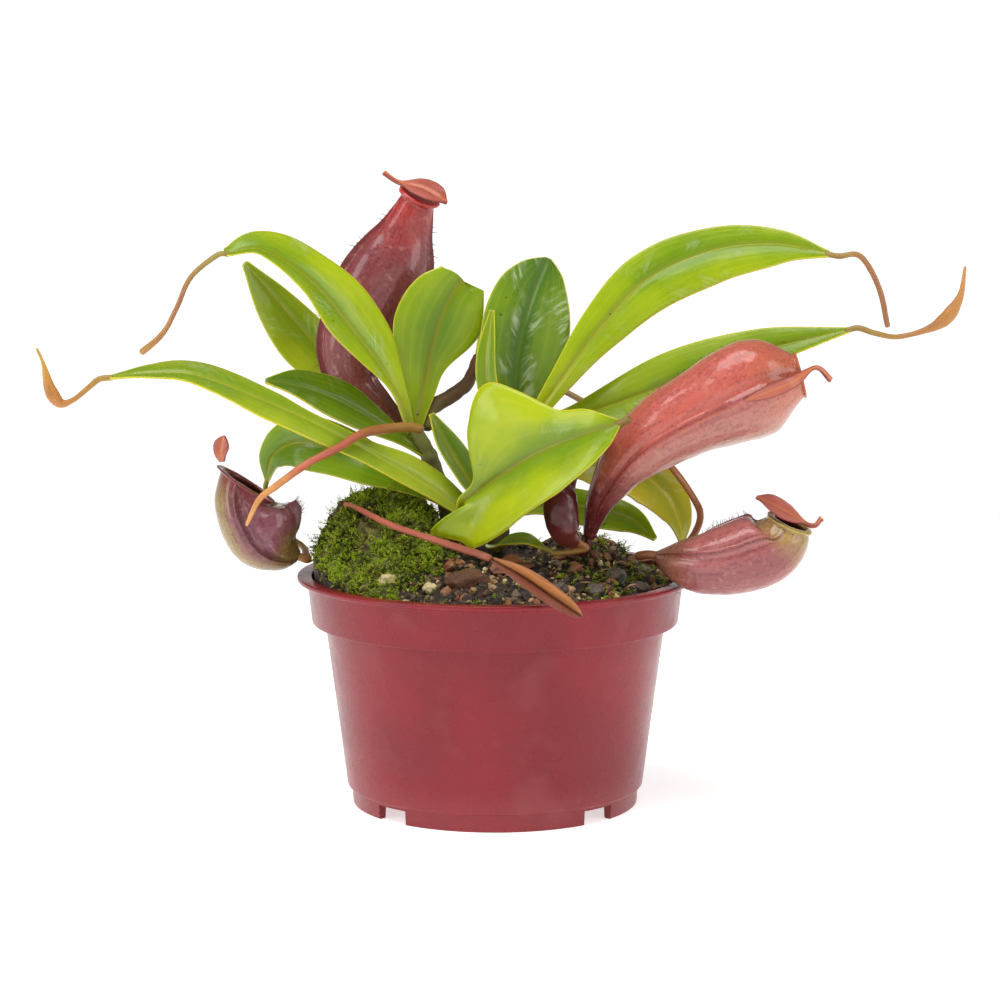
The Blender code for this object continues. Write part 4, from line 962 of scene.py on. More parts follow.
class SoilSettings(bpy.types.PropertyGroup):
    """The potting mix, the grit on it and the moss."""
    dark: bpy.props.FloatVectorProperty(
        name="Dark", description="The darkest soil", subtype="COLOR", size=4, min=0, max=1,
        default=tint(34, 24, 16))
    pale: bpy.props.FloatVectorProperty(
        name="Pale", description="The driest crumbs", subtype="COLOR", size=4, min=0, max=1,
        default=tint(186, 152, 104))
    moss: bpy.props.FloatVectorProperty(
        name="Moss", description="The colour of young moss", subtype="COLOR", size=4, min=0, max=1,
        default=tint(152, 184, 24))
    old_moss: bpy.props.FloatVectorProperty(
        name="Old Moss", description="The colour of moss in its depth", subtype="COLOR", size=4, min=0, max=1,
        default=tint(56, 58, 16))
    crumbs: bpy.props.IntProperty(name="Crumbs", description="Loose crumbs on the soil", default=2600, min=0)
    shoots: bpy.props.IntProperty(name="Shoots", description="Shoots of moss", default=2600, min=0)


class LeafSettings(bpy.types.PropertyGroup):
    """The leaves."""
    rows: bpy.props.IntProperty(name="Rows", description="Rows of points along a leaf", default=90, min=12)
    columns: bpy.props.IntProperty(name="Columns", description="Columns across a leaf", default=30, min=6)
    edge: bpy.props.FloatProperty(
        name="Edge", description="Thickness of a leaf at its margin", default=0.45 * MM, unit="LENGTH")
    light_through: bpy.props.FloatProperty(
        name="Light Through", description="Share of the light that a leaf scatters inside", subtype="FACTOR",
        default=0.25, min=0, max=1)


class PitcherSettings(bpy.types.PropertyGroup):
    """The pitchers, their lids and fringes, and the tendrils."""
    hair: bpy.props.FloatProperty(
        name="Hair", description="Length of a fringe hair", default=2.2 * MM, unit="LENGTH")
    hair_colour: bpy.props.FloatVectorProperty(
        name="Hair Colour", description="The colour of the fringe hairs", subtype="COLOR", size=4, min=0,
        max=1, default=tint(70, 24, 26))
    tendril_sides: bpy.props.IntProperty(name="Tendril Sides", description="Sides of a tendril", default=20)


class StageSettings(bpy.types.PropertyGroup):
    """The studio: floor, lights and camera."""
    distance: bpy.props.FloatProperty(
        name="Distance", description="From the camera to the plant", default=1.0, unit="LENGTH")
    elevation: bpy.props.FloatProperty(
        name="Elevation", description="How far the camera looks down", default=math.radians(8.0),
        subtype="ANGLE")
    lens: bpy.props.FloatProperty(name="Lens", description="Focal length in millimetres", default=112.7)
    floor: bpy.props.FloatVectorProperty(
        name="Floor", description="The floor's colour", subtype="COLOR", size=4, min=0, max=1,
        default=(0.94, 0.94, 0.94, 1.0))
    glow: bpy.props.FloatProperty(name="Glow", description="Light that the lit table gives", default=0.6)
    sky: bpy.props.FloatProperty(name="Sky", description="Strength of the light all round", default=0.2)
    wall: bpy.props.FloatProperty(name="Wall", description="Light that the round wall gives", default=1.1)
    key: bpy.props.FloatProperty(name="Key", description="Power of the main softbox in watts", default=10.0)
    fill: bpy.props.FloatProperty(name="Fill", description="Power of each side softbox in watts", default=2.6)


GROUPS = {
    "plant_pot": PotSettings,
    "plant_soil": SoilSettings,
    "plant_leaves": LeafSettings,
    "plant_pitchers": PitcherSettings,
    "plant_stage": StageSettings,
}


def plastic_finish(settings):
    """Half gloss red plastic, dusted and scuffed, with dirt over its foot."""
    finish = Finish("red plastic", {"IOR": 1.5, "Specular IOR Level": 0.3})
    _, _, height = finish.axes()
    dust = finish.cloud(16.0, 5.0).between(0.5, 0.78)
    low = height.between(15.0, 5.0)
    specks = finish.cells(2.2).between(0.16, 0.08) * (finish.cloud(9.0) + low * 0.2).between(0.5, 0.62)
    mottle = finish.cloud(34.0, 3.0)
    deep = finish.mix(0.4, tuple(settings.plastic), tint(92, 18, 28))
    colour = finish.mix(mottle.between(0.35, 0.65), tuple(settings.plastic), deep)
    colour = finish.mix(dust * 0.12 + low * 0.1, colour, tuple(settings.dust))
    colour = finish.mix(specks * (low * 0.6 + 0.25), colour, tint(96, 60, 50))
    roughness = finish.cloud(5.0, 4.0) * 0.16 + dust * 0.14 + 0.2
    bumps = finish.cloud(1.2, 3.0) + finish.cloud(12.0) * 3.0
    return finish.paint(colour, roughness, bumps, 0.05)


def soil_finish(settings):
    finish = Finish("potting soil", {"Specular IOR Level": 0.5})
    tone = finish.cloud(2.2, 6.0, rough=0.7)
    colour = finish.mix(tone.between(0.4, 0.8), tuple(settings.dark), tint(74, 52, 34))
    dry = finish.cloud(3.0, 3.0).between(0.35, 0.6)
    return finish.paint(colour, dry * 0.5 + 0.4, finish.cloud(0.8, 5.0), 0.5)


def crumb_finish(name, dark, pale, roughness, bump=0.2):
    """Small lumps whose tone goes by the lump."""
    finish = Finish(name, {"Specular IOR Level": 0.5})
    tone, wet, _ = finish.mark("lump")
    grain = finish.cloud(0.9, 5.0, rough=0.7)
    colour = finish.mix((tone * 0.8 + grain * 0.5 - 0.15).between(0.1, 0.95), dark, pale)
    return finish.paint(colour, roughness - wet * 0.5, finish.cloud(0.5, 4.0), bump)


def moss_finish(settings):
    """Moss shoots, dark at the foot and bright at the tips."""
    finish = Finish("moss", {"Specular IOR Level": 0.25, "Subsurface Weight": 0.1,
                             "Subsurface Radius": (0.6, 1.0, 0.2), "Subsurface Scale": MM})
    rise, tone, dry = finish.mark("lump")
    patch = finish.cloud(7.0, 2.0)
    bright = finish.mix(tone, tuple(settings.moss), tint(184, 190, 52))
    share = rise * 0.8 + (patch - 0.5) * 1.6
    colour = finish.mix(share.between(0.1, 0.9), tuple(settings.old_moss), bright)
    crust = finish.mix(finish.cloud(1.6, 4.0).between(0.4, 0.65), tint(48, 38, 22), tint(124, 110, 62))
    return finish.paint(finish.mix(dry, colour, crust), 0.75, finish.cloud(0.9, 4.0), 0.3)


def leaf_finish(name, look, light_through):
    """A glossy leaf: paler margin, coloured rib, faint nerves, painted shade along the rib, pale streaks of
    painted glare and a few specks.
    """
    finish = Finish(name, {"Subsurface Weight": light_through, "Subsurface Radius": (0.7, 1.0, 0.15),
                           "Subsurface Scale": MM, "IOR": 1.45, "Specular IOR Level": 0.3,
                           "Coat Roughness": 0.08})
    across, run, t = finish.mark("rib")
    margin, top, share = finish.mark("rim")
    off_rib = abs(across)
    patches = finish.cloud(22.0, 2.0)
    streaks = finish.cloud(1.0, 3.0, finish.join(share * 9.0, run * 0.05, t))
    # painted shade: the colour deepens within 13 mm of the rib, most from mid-leaf to tip, and more again
    # within 4 mm of it
    near_rib = off_rib.between(13.0, 0.0) * t.between(0.1, 0.6)
    shade = (patches - 0.5) * 1.3 + (streaks - 0.5) * 0.35 + near_rib * 0.55
    shade = shade + off_rib.between(4.0, 0.0) * 0.2 + 0.2
    colour = finish.mix(shade.between(0.0, 1.0), look.light, look.deep)
    wobble = finish.cloud(6.0, 2.0) * 2.0
    nerves = (share * 26.0 + wobble * 0.5).sine().between(0.6, 1.0) * off_rib.between(1.0, 3.0)
    colour = finish.mix(nerves * 0.07, colour, look.margin)
    slant = run - off_rib * 1.1
    brushed = finish.cloud(
        1.0, 4.0, finish.join(slant * 0.6 + wobble, off_rib * 0.22 + wobble * 0.6, across * 0.02))
    # painted glare: pale streaks in brushed patches on the upper side stand in for the lights' reflection;
    # the same mask also raises the coat
    wet = finish.cloud(11.0, 2.0).between(0.5, 0.68)
    painted_glare = wet * brushed.between(0.42, 0.62) * off_rib.between(0.8, 3.5) * top
    colour = finish.mix(painted_glare * look.bloom * 0.34, colour, tint(206, 214, 178))
    under = finish.mix(0.35, look.light, look.margin)
    colour = finish.mix((1.0 - top) * 0.75, colour, under)
    rib_width = t.between(1.0, 0.0) * 0.45 + 0.25
    rib = (off_rib / rib_width).between(1.5, 0.4)
    halo = off_rib.between(2.4, 0.3) * 0.25
    colour = finish.mix(rib * 0.6 + halo * (1.0 - rib), colour, look.rib)
    edge = margin.between(0.55, 0.1)
    colour = finish.mix(edge * 0.75, colour, look.margin)
    specks = finish.cells(6.0).between(0.09, 0.05) * finish.cloud(14.0).between(0.5, 0.58)
    colour = finish.mix(specks * 0.85, colour, tint(60, 42, 20))
    gloss = finish.cloud(9.0, 3.0) * 0.3 + finish.cloud(0.7, 2.0) * 0.06 + 0.14 - painted_glare * 0.05
    finish.feed(finish.shader.inputs["Coat Weight"], painted_glare * look.bloom * 0.5 + 0.2)
    blister = finish.cloud(1.6, 3.0) * 0.35 + finish.cloud(5.0, 2.0) * 1.3 + brushed * wet * 0.2
    return finish.paint(colour, gloss, blister - nerves * 0.08, 0.16)


def pitcher_finish(name, look):
    """A pitcher's skin, mottled and streaked, with painted pale sheen spots, from its base to its mouth and
    from front to back.
    """
    finish = Finish(name, {"Subsurface Weight": 0.1, "Subsurface Radius": (1.0, 0.35, 0.25),
                           "Subsurface Scale": MM, "IOR": 1.46, "Coat Weight": 0.6, "Coat Roughness": 0.1,
                           "Specular IOR Level": 0.3})
    front, side, t = finish.mark("round")
    run, inside, wing = finish.mark("wall")
    patches = finish.cloud(8.0, 3.0)
    facing = front + (patches - 0.5) * 0.35
    colour = finish.mix(facing.between(0.0, 0.62), look.side, look.front)
    colour = finish.mix(facing.between(-0.2, -0.85) * t.between(0.25, 0.6), colour, look.back)
    colour = finish.mix((t + (patches - 0.5) * 0.2).between(0.36, 0.12), colour, look.base)
    colour = finish.mix((t + (patches - 0.5) * 0.2).between(0.78, 0.98) * 0.75, colour, look.mouth)
    streaks = finish.cloud(1.0, 3.0, finish.join(front * 9.0, side * 9.0, run * 0.09))
    speckle = finish.cloud(1.1, 4.0, rough=0.65)
    blotches = (speckle * 0.6 + streaks * 0.4).between(0.47, 0.62)
    colour = finish.mix(blotches * 0.5, colour, look.speckle)
    # painted sheen: pale spots mixed into the colour stand in for glints of light on the wet skin
    pale = finish.mix(0.5, look.front, tint(226, 168, 152))
    colour = finish.mix(finish.cloud(2.4, 4.0).between(0.56, 0.74) * 0.35, colour, pale)
    colour = finish.mix(wing.between(0.3, 0.9) * 0.6, colour, look.speckle)
    lip = inside.between(0.3, 0.5)
    colour = finish.mix(lip * 0.9, colour, look.mouth)
    colour = finish.mix(inside.between(0.55, 0.9), colour, look.inside)
    gloss = finish.cloud(3.0, 4.0) * 0.3 + 0.16
    height = finish.cloud(1.3, 4.0) + streaks * 0.7 + finish.cloud(4.0, 2.0) * 1.5
    return finish.paint(colour, gloss, height, 0.3)


def stalk_finish(name, look, shine=0.3):
    finish = Finish(name, {"IOR": 1.45})
    around, _, t = finish.mark("round")
    run, _, turn = finish.mark("run")
    streaks = finish.cloud(1.0, 3.0, finish.join(around * 2.0, turn * 3.0, run * 0.12))
    along = t + (finish.cloud(5.0, 3.0) - 0.5) * 0.3
    colour = finish.mix(along.between(0.05, 0.5), look.start, look.middle)
    colour = finish.mix(along.between(0.55, 0.95), colour, look.end)
    colour = finish.mix(streaks.between(0.5, 0.75) * 0.45, colour, look.streak)
    specks = finish.cells(2.4).between(0.12, 0.06) * finish.cloud(6.0).between(0.5, 0.6)
    colour = finish.mix(specks * 0.7, colour, tint(58, 34, 20))
    return finish.paint(colour, finish.cloud(3.0) * 0.2 + shine, finish.cloud(0.8, 3.0) + streaks, 0.12)


def husk_finish(name, upper, lower):
    """A dried folded skin: one side of its fold tan, the other red brown, with painted shade darkening the
    crease along the fold.
    """
    finish = Finish(name, {"Specular IOR Level": 0.45})
    across, run, t = finish.mark("rib")
    margin, _, _ = finish.mark("rim")
    fibres = finish.cloud(1.0, 4.0, finish.join(across * 1.6, run * 0.12, t))
    side = (across + (finish.cloud(4.0) - 0.5) * 0.8).between(-0.5, 0.5)
    colour = finish.mix(side, lower, upper)
    colour = finish.mix(fibres.between(0.42, 0.66) * 0.45, colour, tint(96, 48, 30))
    # painted shade: near-black brown along the fold, where the two halves meet
    colour = finish.mix(abs(across).between(0.9, 0.1) * 0.8, colour, tint(52, 28, 20))
    colour = finish.mix(margin.between(0.7, 0.1) * 0.6, colour, tint(116, 62, 36))
    return finish.paint(colour, finish.cloud(3.0, 3.0) * 0.3 + 0.3, fibres + finish.cloud(1.2, 3.0), 0.25)


def plain_finish(name, first, second, size, roughness):
    """Two colours in soft patches of about `size` millimetres."""
    finish = Finish(name, {})
    colour = finish.mix(finish.cloud(size, 4.0).between(0.35, 0.65), first, second)
    return finish.paint(colour, roughness, finish.cloud(size * 0.4, 4.0), 0.1)


class PLANT_OT_pot(bpy.types.Operator):
    """Turns the nursery pot, with the notches in its foot and the holes in its floor"""
    bl_idname = "plant.pot"
    bl_label = "Pot"

    def execute(self, context):
        settings = context.scene.plant_pot
        pot = turned_piece("nursery_pot", rounded(pot_profile(), settings.corner / MM), settings.sides)
        cutters = []
        for k in range(NOTCH_COUNT):
            angle = math.radians(45.0 + 360.0 * k / NOTCH_COUNT)
            middle = (BASE_RADIUS * math.cos(angle), BASE_RADIUS * math.sin(angle), 0.0)
            cutters.append(block("notch", middle, NOTCH_SIZE, angle))
        for k in range(DRAIN_COUNT):
            angle = math.tau * k / DRAIN_COUNT
            middle = np.array([DRAIN_CIRCLE * math.cos(angle), DRAIN_CIRCLE * math.sin(angle), FOOT_HEIGHT])
            path = middle + np.array([(0, 0, z) for z in (-5.0, 0.0, 5.0)])
            points, faces = loft(tube(path, [DRAIN_RADIUS] * 3, 32))
            cutters.append(mesh_piece("drain", points, faces))
        cut(pot, cutters)
        pot.data.shade_smooth()
        pot.data.set_sharp_from_angle(angle=math.radians(40.0))
        settle(pot, plastic_finish(settings), "pot", "pot")
        return {"FINISHED"}


class PLANT_OT_soil(bpy.types.Operator):
    """Fills the pot with soil and strews crumbs, bark chips, perlite and grit on it"""
    bl_idname = "plant.soil"
    bl_label = "Soil"

    def execute(self, context):
        settings = context.scene.plant_soil
        rng = np.random.default_rng(11)
        shares = np.sqrt(np.linspace(0.0004, 1.0, SOIL_ROWS))
        turn = np.linspace(0.0, 2 * np.pi, SOIL_SIDES, endpoint=False)
        x = SOIL_RADIUS * shares[:, None] * np.cos(turn)
        y = SOIL_RADIUS * shares[:, None] * np.sin(turn)
        top = np.stack([x, y, soil_height(x, y)], -1)
        top[..., 2] += clouds(top, 3.2) * 0.9 + clouds(top, 1.3) * 0.5
        sides = []
        collar_foot = POT_HEIGHT - COLLAR_HEIGHT
        floor_top = FOOT_HEIGHT + WALL + 0.3
        for radius, height in [
            (SOIL_RADIUS - 1.1, collar_foot + WALL + 0.3),
            (body_radius(collar_foot) - WALL - 1.2, collar_foot),
            (body_radius(floor_top) - WALL - 0.3, floor_top),
        ]:
            ring = np.stack([radius * np.cos(turn), radius * np.sin(turn), np.full_like(turn, height)], -1)
            sides.append(ring)
        points, faces = loft(np.concatenate([top, sides]))
        soil = mesh_piece("potting_mix", points, faces)
        settle(soil, soil_finish(settings), "soil", "soil")
        self.strew(settings, rng)
        return {"FINISHED"}

    def strew(self, settings, rng):
        small = lump_shapes(14, 1, rng)
        large = lump_shapes(10, 2, rng)
        heaps = {"crumbs": Heap(), "bark_chips": Heap(), "perlite_grains": Heap(), "grit_stones": Heap()}
        x, y = scattered(rng, settings.crumbs, 0.2, 0.985)
        z = soil_height(x, y)
        for place in zip(x, y, z):
            points, faces = small[rng.integers(len(small))]
            size = rng.uniform(0.8, 3.4) * np.array([1.0, rng.uniform(0.4, 1.0), rng.uniform(0.3, 0.9)])
            mark = (rng.uniform(0, 1) ** 3, rng.uniform(0, 1) ** 2, 0.0)
            heaps["crumbs"].add(turned_at_random(points * size, rng) + place, faces, mark)
        for heap, count, low, high, flatness in [
            ("bark_chips", 190, 2.5, 6.5, 0.45), ("perlite_grains", 90, 1.2, 3.0, 0.85),
            ("grit_stones", 90, 1.8, 4.8, 0.75),
        ]:
            x, y = scattered(rng, count, 0.35, 0.95)
            z = soil_height(x, y) + 0.2
            for place in zip(x, y, z):
                if moss_share(*np.array(place[:2])) > 0.5 and heap != "perlite_grains":
                    continue
                points, faces = large[rng.integers(len(large))]
                size = rng.uniform(low, high) * np.array([1.0, rng.uniform(0.5, 0.8), flatness])
                mark = (rng.uniform(0, 1), rng.uniform(0, 0.6), 0.0)
                turned = turned_at_random(points * size, rng)
                heaps[heap].add(turned + place, faces, mark)
        dark = tuple(settings.dark)
        settle(heaps["crumbs"].piece("crumbs", True),
               crumb_finish("crumbs", dark, tuple(settings.pale), 0.8), "soil")
        settle(heaps["bark_chips"].piece("bark_chips", True),
               crumb_finish("bark chips", tint(34, 22, 16), tint(146, 92, 52), 0.6), "bark")
        settle(heaps["perlite_grains"].piece("perlite_grains"),
               crumb_finish("perlite grains", tint(168, 132, 84), tint(240, 218, 168), 0.85), "perlite")
        settle(heaps["grit_stones"].piece("grit_stones", True),
               crumb_finish("grit stones", tint(30, 25, 22), tint(126, 104, 82), 0.45), "stone")


class PLANT_OT_grit(bpy.types.Operator):
    """Lays the larger stones, perlite and bark in the soil"""
    bl_idname = "plant.grit"
    bl_label = "Grit"

    def execute(self, context):
        finishes = {
            "perlite": crumb_finish("perlite", tint(168, 142, 92), tint(232, 214, 166), 0.8, 0.4),
            "bark": crumb_finish("bark", tint(40, 24, 16), tint(138, 88, 50), 0.55, 0.6),
            "stone": crumb_finish("stone", tint(38, 32, 28), tint(120, 104, 88), 0.5, 0.4),
        }
        for name, (place, size, turn, slot) in GRIT.items():
            round_points, faces = ball(4)
            rough = 1.0 + 0.3 * clouds(round_points, 1 / 3.0, (turn, size[0], 0.0))
            rough += 0.14 * clouds(round_points, 0.14) + 0.06 * clouds(round_points, 0.06)
            local = round_points * size * rough[:, None]
            x, y = (np.array(float(value)) for value in place)
            middle = np.array([x, y, soil_height(x, y) + GRIT_RISE * size[2]])
            marks = {"lump": np.broadcast_to((0.5, 0.2, 0.0), local.shape)}
            piece = mesh_piece(f"{name}_rough", local @ swing(math.radians(turn)) + middle, faces, marks)
            settle(piece, finishes[slot], slot, name)
        return {"FINISHED"}


class PLANT_OT_moss(bpy.types.Operator):
    """Lays the moss mat over the mound, with old crust and moss shoots on it"""
    bl_idname = "plant.moss"
    bl_label = "Moss"

    def execute(self, context):
        settings = context.scene.plant_soil
        rng = np.random.default_rng(23)
        finish = moss_finish(settings)
        radii = np.linspace(0.26, 0.995, MOSS_ROWS) * SOIL_RADIUS
        angles = np.radians(np.linspace(138.0, 250.0, MOSS_COLUMNS))
        radius, angle = np.meshgrid(radii, angles, indexing="ij")
        x, y = radius * np.cos(angle), radius * np.sin(angle)
        base = soil_height(x, y)
        share = moss_share(x, y)
        flat = np.stack([x, y, base], -1)
        tufts = 1.1 + 1.6 * clouds(flat, 6.0) + 0.8 * clouds(flat, 2.2)
        top = np.stack([x, y, base + share * tufts * 1.5 - 0.7 * (1.0 - share)], -1)
        low = np.stack([x, y, base - 1.6], -1)
        rings = np.concatenate([top, low[:, ::-1]], axis=1)
        depth = np.stack([share * 0.25, share * 0.0, 0.4 + 0.5 * self.bare(x, y)], -1)
        marks = {"lump": np.concatenate([depth, depth[:, ::-1]], axis=1)}
        settle(loft_piece("moss_mat", rings, marks), finish, "moss", "moss")
        settle(self.shoots(settings.shoots, rng), finish, "moss")
        settle(self.crust(rng), finish, "moss")
        return {"FINISHED"}

    def bare(self, x, y):
        """1 where the mound shows its crust and 0 where moss covers it, most bare at its rear and left."""
        flat = np.stack([x, y, np.zeros_like(x)], -1)
        return ease(clouds(flat, 9.0, 5.0) + 0.02 * (y - MOUND[1]) - 0.008 * (x - MOUND[0]), 0.0, 0.25)

    def crust(self, rng):
        """Old crusted lumps on the mound, between the tufts."""
        heap = Heap()
        shapes = lump_shapes(12, 2, rng)
        x, y = scattered(rng, 5200, 0.2, 0.98)
        share = moss_share(x, y) * (0.12 + self.bare(x, y))
        for k in np.flatnonzero(rng.uniform(0, 1, len(x)) < share * 0.75):
            points, faces = shapes[rng.integers(len(shapes))]
            size = rng.uniform(1.2, 4.0) * np.array([1.0, rng.uniform(0.5, 1.0), rng.uniform(0.4, 0.8)])
            place = (x[k], y[k], soil_height(x[k], y[k]) + rng.uniform(0.2, 1.8))
            heap.add(turned_at_random(points * size, rng) + place, faces, (0.3, 0.0, rng.uniform(0.6, 1.0)))
        return heap.piece("moss_crust", True)

    def shoots(self, count, rng):
        """Short leafy shoots, close on the mat and sparse elsewhere."""
        heap = Heap()
        x, y = scattered(rng, count * 6, 0.2, 0.985)
        chance = np.maximum(moss_share(x, y) * (1.0 - self.bare(x, y)), 0.03 + 0.08 * ease(x, 12.0, 30.0))
        kept = np.flatnonzero(rng.uniform(0, 1, len(x)) < chance)[:count]
        base = soil_height(x, y)
        for k in kept:
            foot = np.array([x[k], y[k], base[k] + 0.6 * chance[k]])
            outward = unit(np.array([x[k] - MOUND[0], y[k] - MOUND[1], 12.0]))
            way = unit(outward + rng.normal(0.0, 0.45, 3))
            length = rng.uniform(1.8, 4.2)
            bend = rng.normal(0.0, 0.35, 3)
            tone = rng.uniform(0, 1) ** 2
            for i in range(MOSS_LEAFLETS):
                share = (i + 1.0) / MOSS_LEAFLETS
                stem = foot + way * length * share + bend * length * share**2
                aside = square_to(rng.normal(size=3), way)
                reach = rng.uniform(0.75, 1.25) * (1.15 - 0.5 * share)
                tip = stem + (aside * 0.8 + way * 0.75) * reach
                across = np.cross(way, aside) * 0.2 * reach
                keel = stem + aside * 0.35 * reach - way * 0.12 * reach
                points = np.array([stem - across, stem + across, keel, tip])
                faces = [(0, 2, 1), (0, 1, 3), (1, 2, 3), (2, 0, 3)]
                heap.add(points, faces, (share, tone, 0.0))
        return heap.piece("moss_shoots")


class PLANT_OT_stems(bpy.types.Operator):
    """Grows the two stems and the old stalk"""
    bl_idname = "plant.stems"
    bl_label = "Stems"

    def execute(self, context):
        look = StalkLook(*tints((80, 60, 38), (96, 90, 46), (112, 114, 50), (52, 42, 26)))
        finish = stalk_finish("stem bark", look, 0.55)
        for name, stem in STEMS.items():
            piece = stalk_piece(f"{name}_bark", stem, 80, 28, 0.16, self.scars)
            settle(piece, finish, "stem", name)
        old = stalk_piece("stalk_old_bark", STALKS["stalk_old"], 60, 24, 0.2)
        settle(old, stalk_finish("old stalk", STALK_LOOKS["stalk_old"], 0.5), "stem", "stalk_old")
        return {"FINISHED"}

    def scars(self, rings, t):
        """Swells the stem where old leaves sat."""
        middle = rings.mean(1, keepdims=True)
        swell = 0.1 * np.maximum(0.0, np.sin(t * 26.0)) ** 3
        return rings + (rings - middle) * swell[:, None, None]


class PLANT_OT_leaves(bpy.types.Operator):
    """Grows the leaves"""
    bl_idname = "plant.leaves"
    bl_label = "Leaves"

    def execute(self, context):
        settings = context.scene.plant_leaves
        for k, (name, blade) in enumerate(LEAVES.items()):
            piece = blade_piece(f"{name}_blade", blade, settings.rows, settings.columns, settings.edge / MM,
                                0.35, k * 3.7)
            finish = leaf_finish(name, LEAF_LOOKS.get(name, GREEN), settings.light_through)
            slot = "leaf_olive" if name == "leaf_low_right" else "leaf"
            settle(piece, finish, slot, name)
        return {"FINISHED"}


class PLANT_OT_tendrils(bpy.types.Operator):
    """Grows the tendrils"""
    bl_idname = "plant.tendrils"
    bl_label = "Tendrils"

    def execute(self, context):
        settings = context.scene.plant_pitchers
        for name, stalk in STALKS.items():
            if name == "stalk_old":
                continue
            piece = stalk_piece(f"{name}_skin", stalk, 90, settings.tendril_sides)
            slot = "tendril_red" if name == "tendril_dry" else "tendril"
            settle(piece, stalk_finish(name, STALK_LOOKS.get(name, BROWN_STALK)), slot, name)
        return {"FINISHED"}


class PLANT_OT_pitchers(bpy.types.Operator):
    """Grows the pitchers, their lids and the fringe hairs on their wings"""
    bl_idname = "plant.pitchers"
    bl_label = "Pitchers"

    def execute(self, context):
        settings = context.scene.plant_pitchers
        rng = np.random.default_rng(31)
        hair_finish = plain_finish("fringe hair", tuple(settings.hair_colour), tint(110, 44, 40), 2.0, 0.5)
        for name, pitcher in PITCHERS.items():
            look = PITCHER_LOOKS[name]
            finish = pitcher_finish(name, look)
            settle(pitcher_piece(f"{name}_wall", pitcher, seed=len(name)), finish, "pitcher", name)
            lid = name.replace("pitcher", "lid")
            lid_finish = leaf_finish(lid, LID_LOOK, 0.1)
            piece = blade_piece(f"{lid}_flap", LIDS[lid], 60, 26, 0.45, 0.2, 2.0)
            settle(piece, lid_finish, "pitcher", lid)
            hairs = self.fringe(pitcher, settings.hair / MM, rng)
            settle(hairs.piece(f"{name}_fringe"), hair_finish, "pitcher")
        young = stalk_piece("pitcher_young_skin", YOUNG_PITCHER, 90, 48, 0.05)
        look = StalkLook(*tints((104, 44, 38), (84, 28, 30), (70, 24, 26), (54, 16, 20)))
        settle(young, stalk_finish("young pitcher", look, 0.08), "pitcher_young", "pitcher_young")
        return {"FINISHED"}

    def fringe(self, pitcher, length, rng):
        """Fine bent hairs along both wings."""
        heap = Heap()
        angle, _ = pitcher.wings
        t = np.linspace(0.3, 0.93, FRINGE_ROWS)
        crests = pitcher_rings(pitcher, t, 0.0, 0.0, np.array([angle, 360.0 - angle]))
        middles = pitcher_rings(pitcher, t, 0.0, 0.0, np.array([0.0, 180.0])).mean(1)
        along = headings(middles)
        for k in range(len(t)):
            for wing in range(2):
                if rng.uniform() < 0.25:
                    continue
                root = crests[k, wing]
                out = unit(root - middles[k])
                way = unit(out + along[k] * rng.normal(0.0, 0.35) + rng.normal(0.0, 0.15, 3))
                reach = length * rng.uniform(0.45, 1.1)
                bend = rng.normal(0.0, 0.3, 3)
                steps = np.linspace(0.0, 1.0, 5)
                path = root - way * 0.3 + np.outer(steps, way) * reach
                path = path + np.outer(steps**2, bend) * reach * 0.5
                points, faces = loft(tube(path, np.linspace(0.13, 0.03, 5), 5))
                heap.add(points, faces, (0.0, 0.0, 0.0))
        return heap


class PLANT_OT_litter(bpy.types.Operator):
    """Lays the dried pitcher, the dead leaf and the fine roots"""
    bl_idname = "plant.litter"
    bl_label = "Dry Pieces"

    def execute(self, context):
        rng = np.random.default_rng(41)
        husk = blade_piece("pitcher_dry_husk", DRY_PITCHER, 80, 30, 1.1, 0.7, 5.0)
        settle(husk, husk_finish("dry husk", *tints((176, 112, 54), (120, 60, 40))),
               "dry_husk", "pitcher_dry")
        dead = blade_piece("dead_leaf_blade", DEAD_LEAF, 60, 24, 0.45, 1.2, 9.0)
        settle(dead, husk_finish("dead leaf", *tints((140, 84, 48), (120, 70, 42))),
               "dry_husk", "dead_leaf")
        roots = Heap()
        x, y = scattered(rng, 16, 0.4, 0.93)
        z = soil_height(x, y)
        for place in zip(x, y, z):
            steps = np.linspace(0.0, 1.0, 18)
            heading = rng.uniform(0, 2 * np.pi)
            length = rng.uniform(5.0, 12.0)
            curl = rng.uniform(1.5, 4.0)
            bearing = heading + curl * np.sin(steps * rng.uniform(2.0, 5.0))
            step = length / (len(steps) - 1)
            path = np.stack([
                place[0] + np.cumsum(np.cos(bearing)) * step, place[1] + np.cumsum(np.sin(bearing)) * step,
                place[2] + 2.4 * np.sin(np.pi * steps) * rng.uniform(0.5, 1.2),
            ], -1)
            points, faces = loft(tube(path, np.linspace(0.34, 0.16, len(steps)), 8))
            roots.add(points, faces, (0.5, 0.0, 0.0))
        finish = plain_finish("rootlets", tint(190, 150, 110), tint(128, 88, 60), 3.0, 0.6)
        settle(roots.piece("rootlets"), finish, "bark")
        return {"FINISHED"}


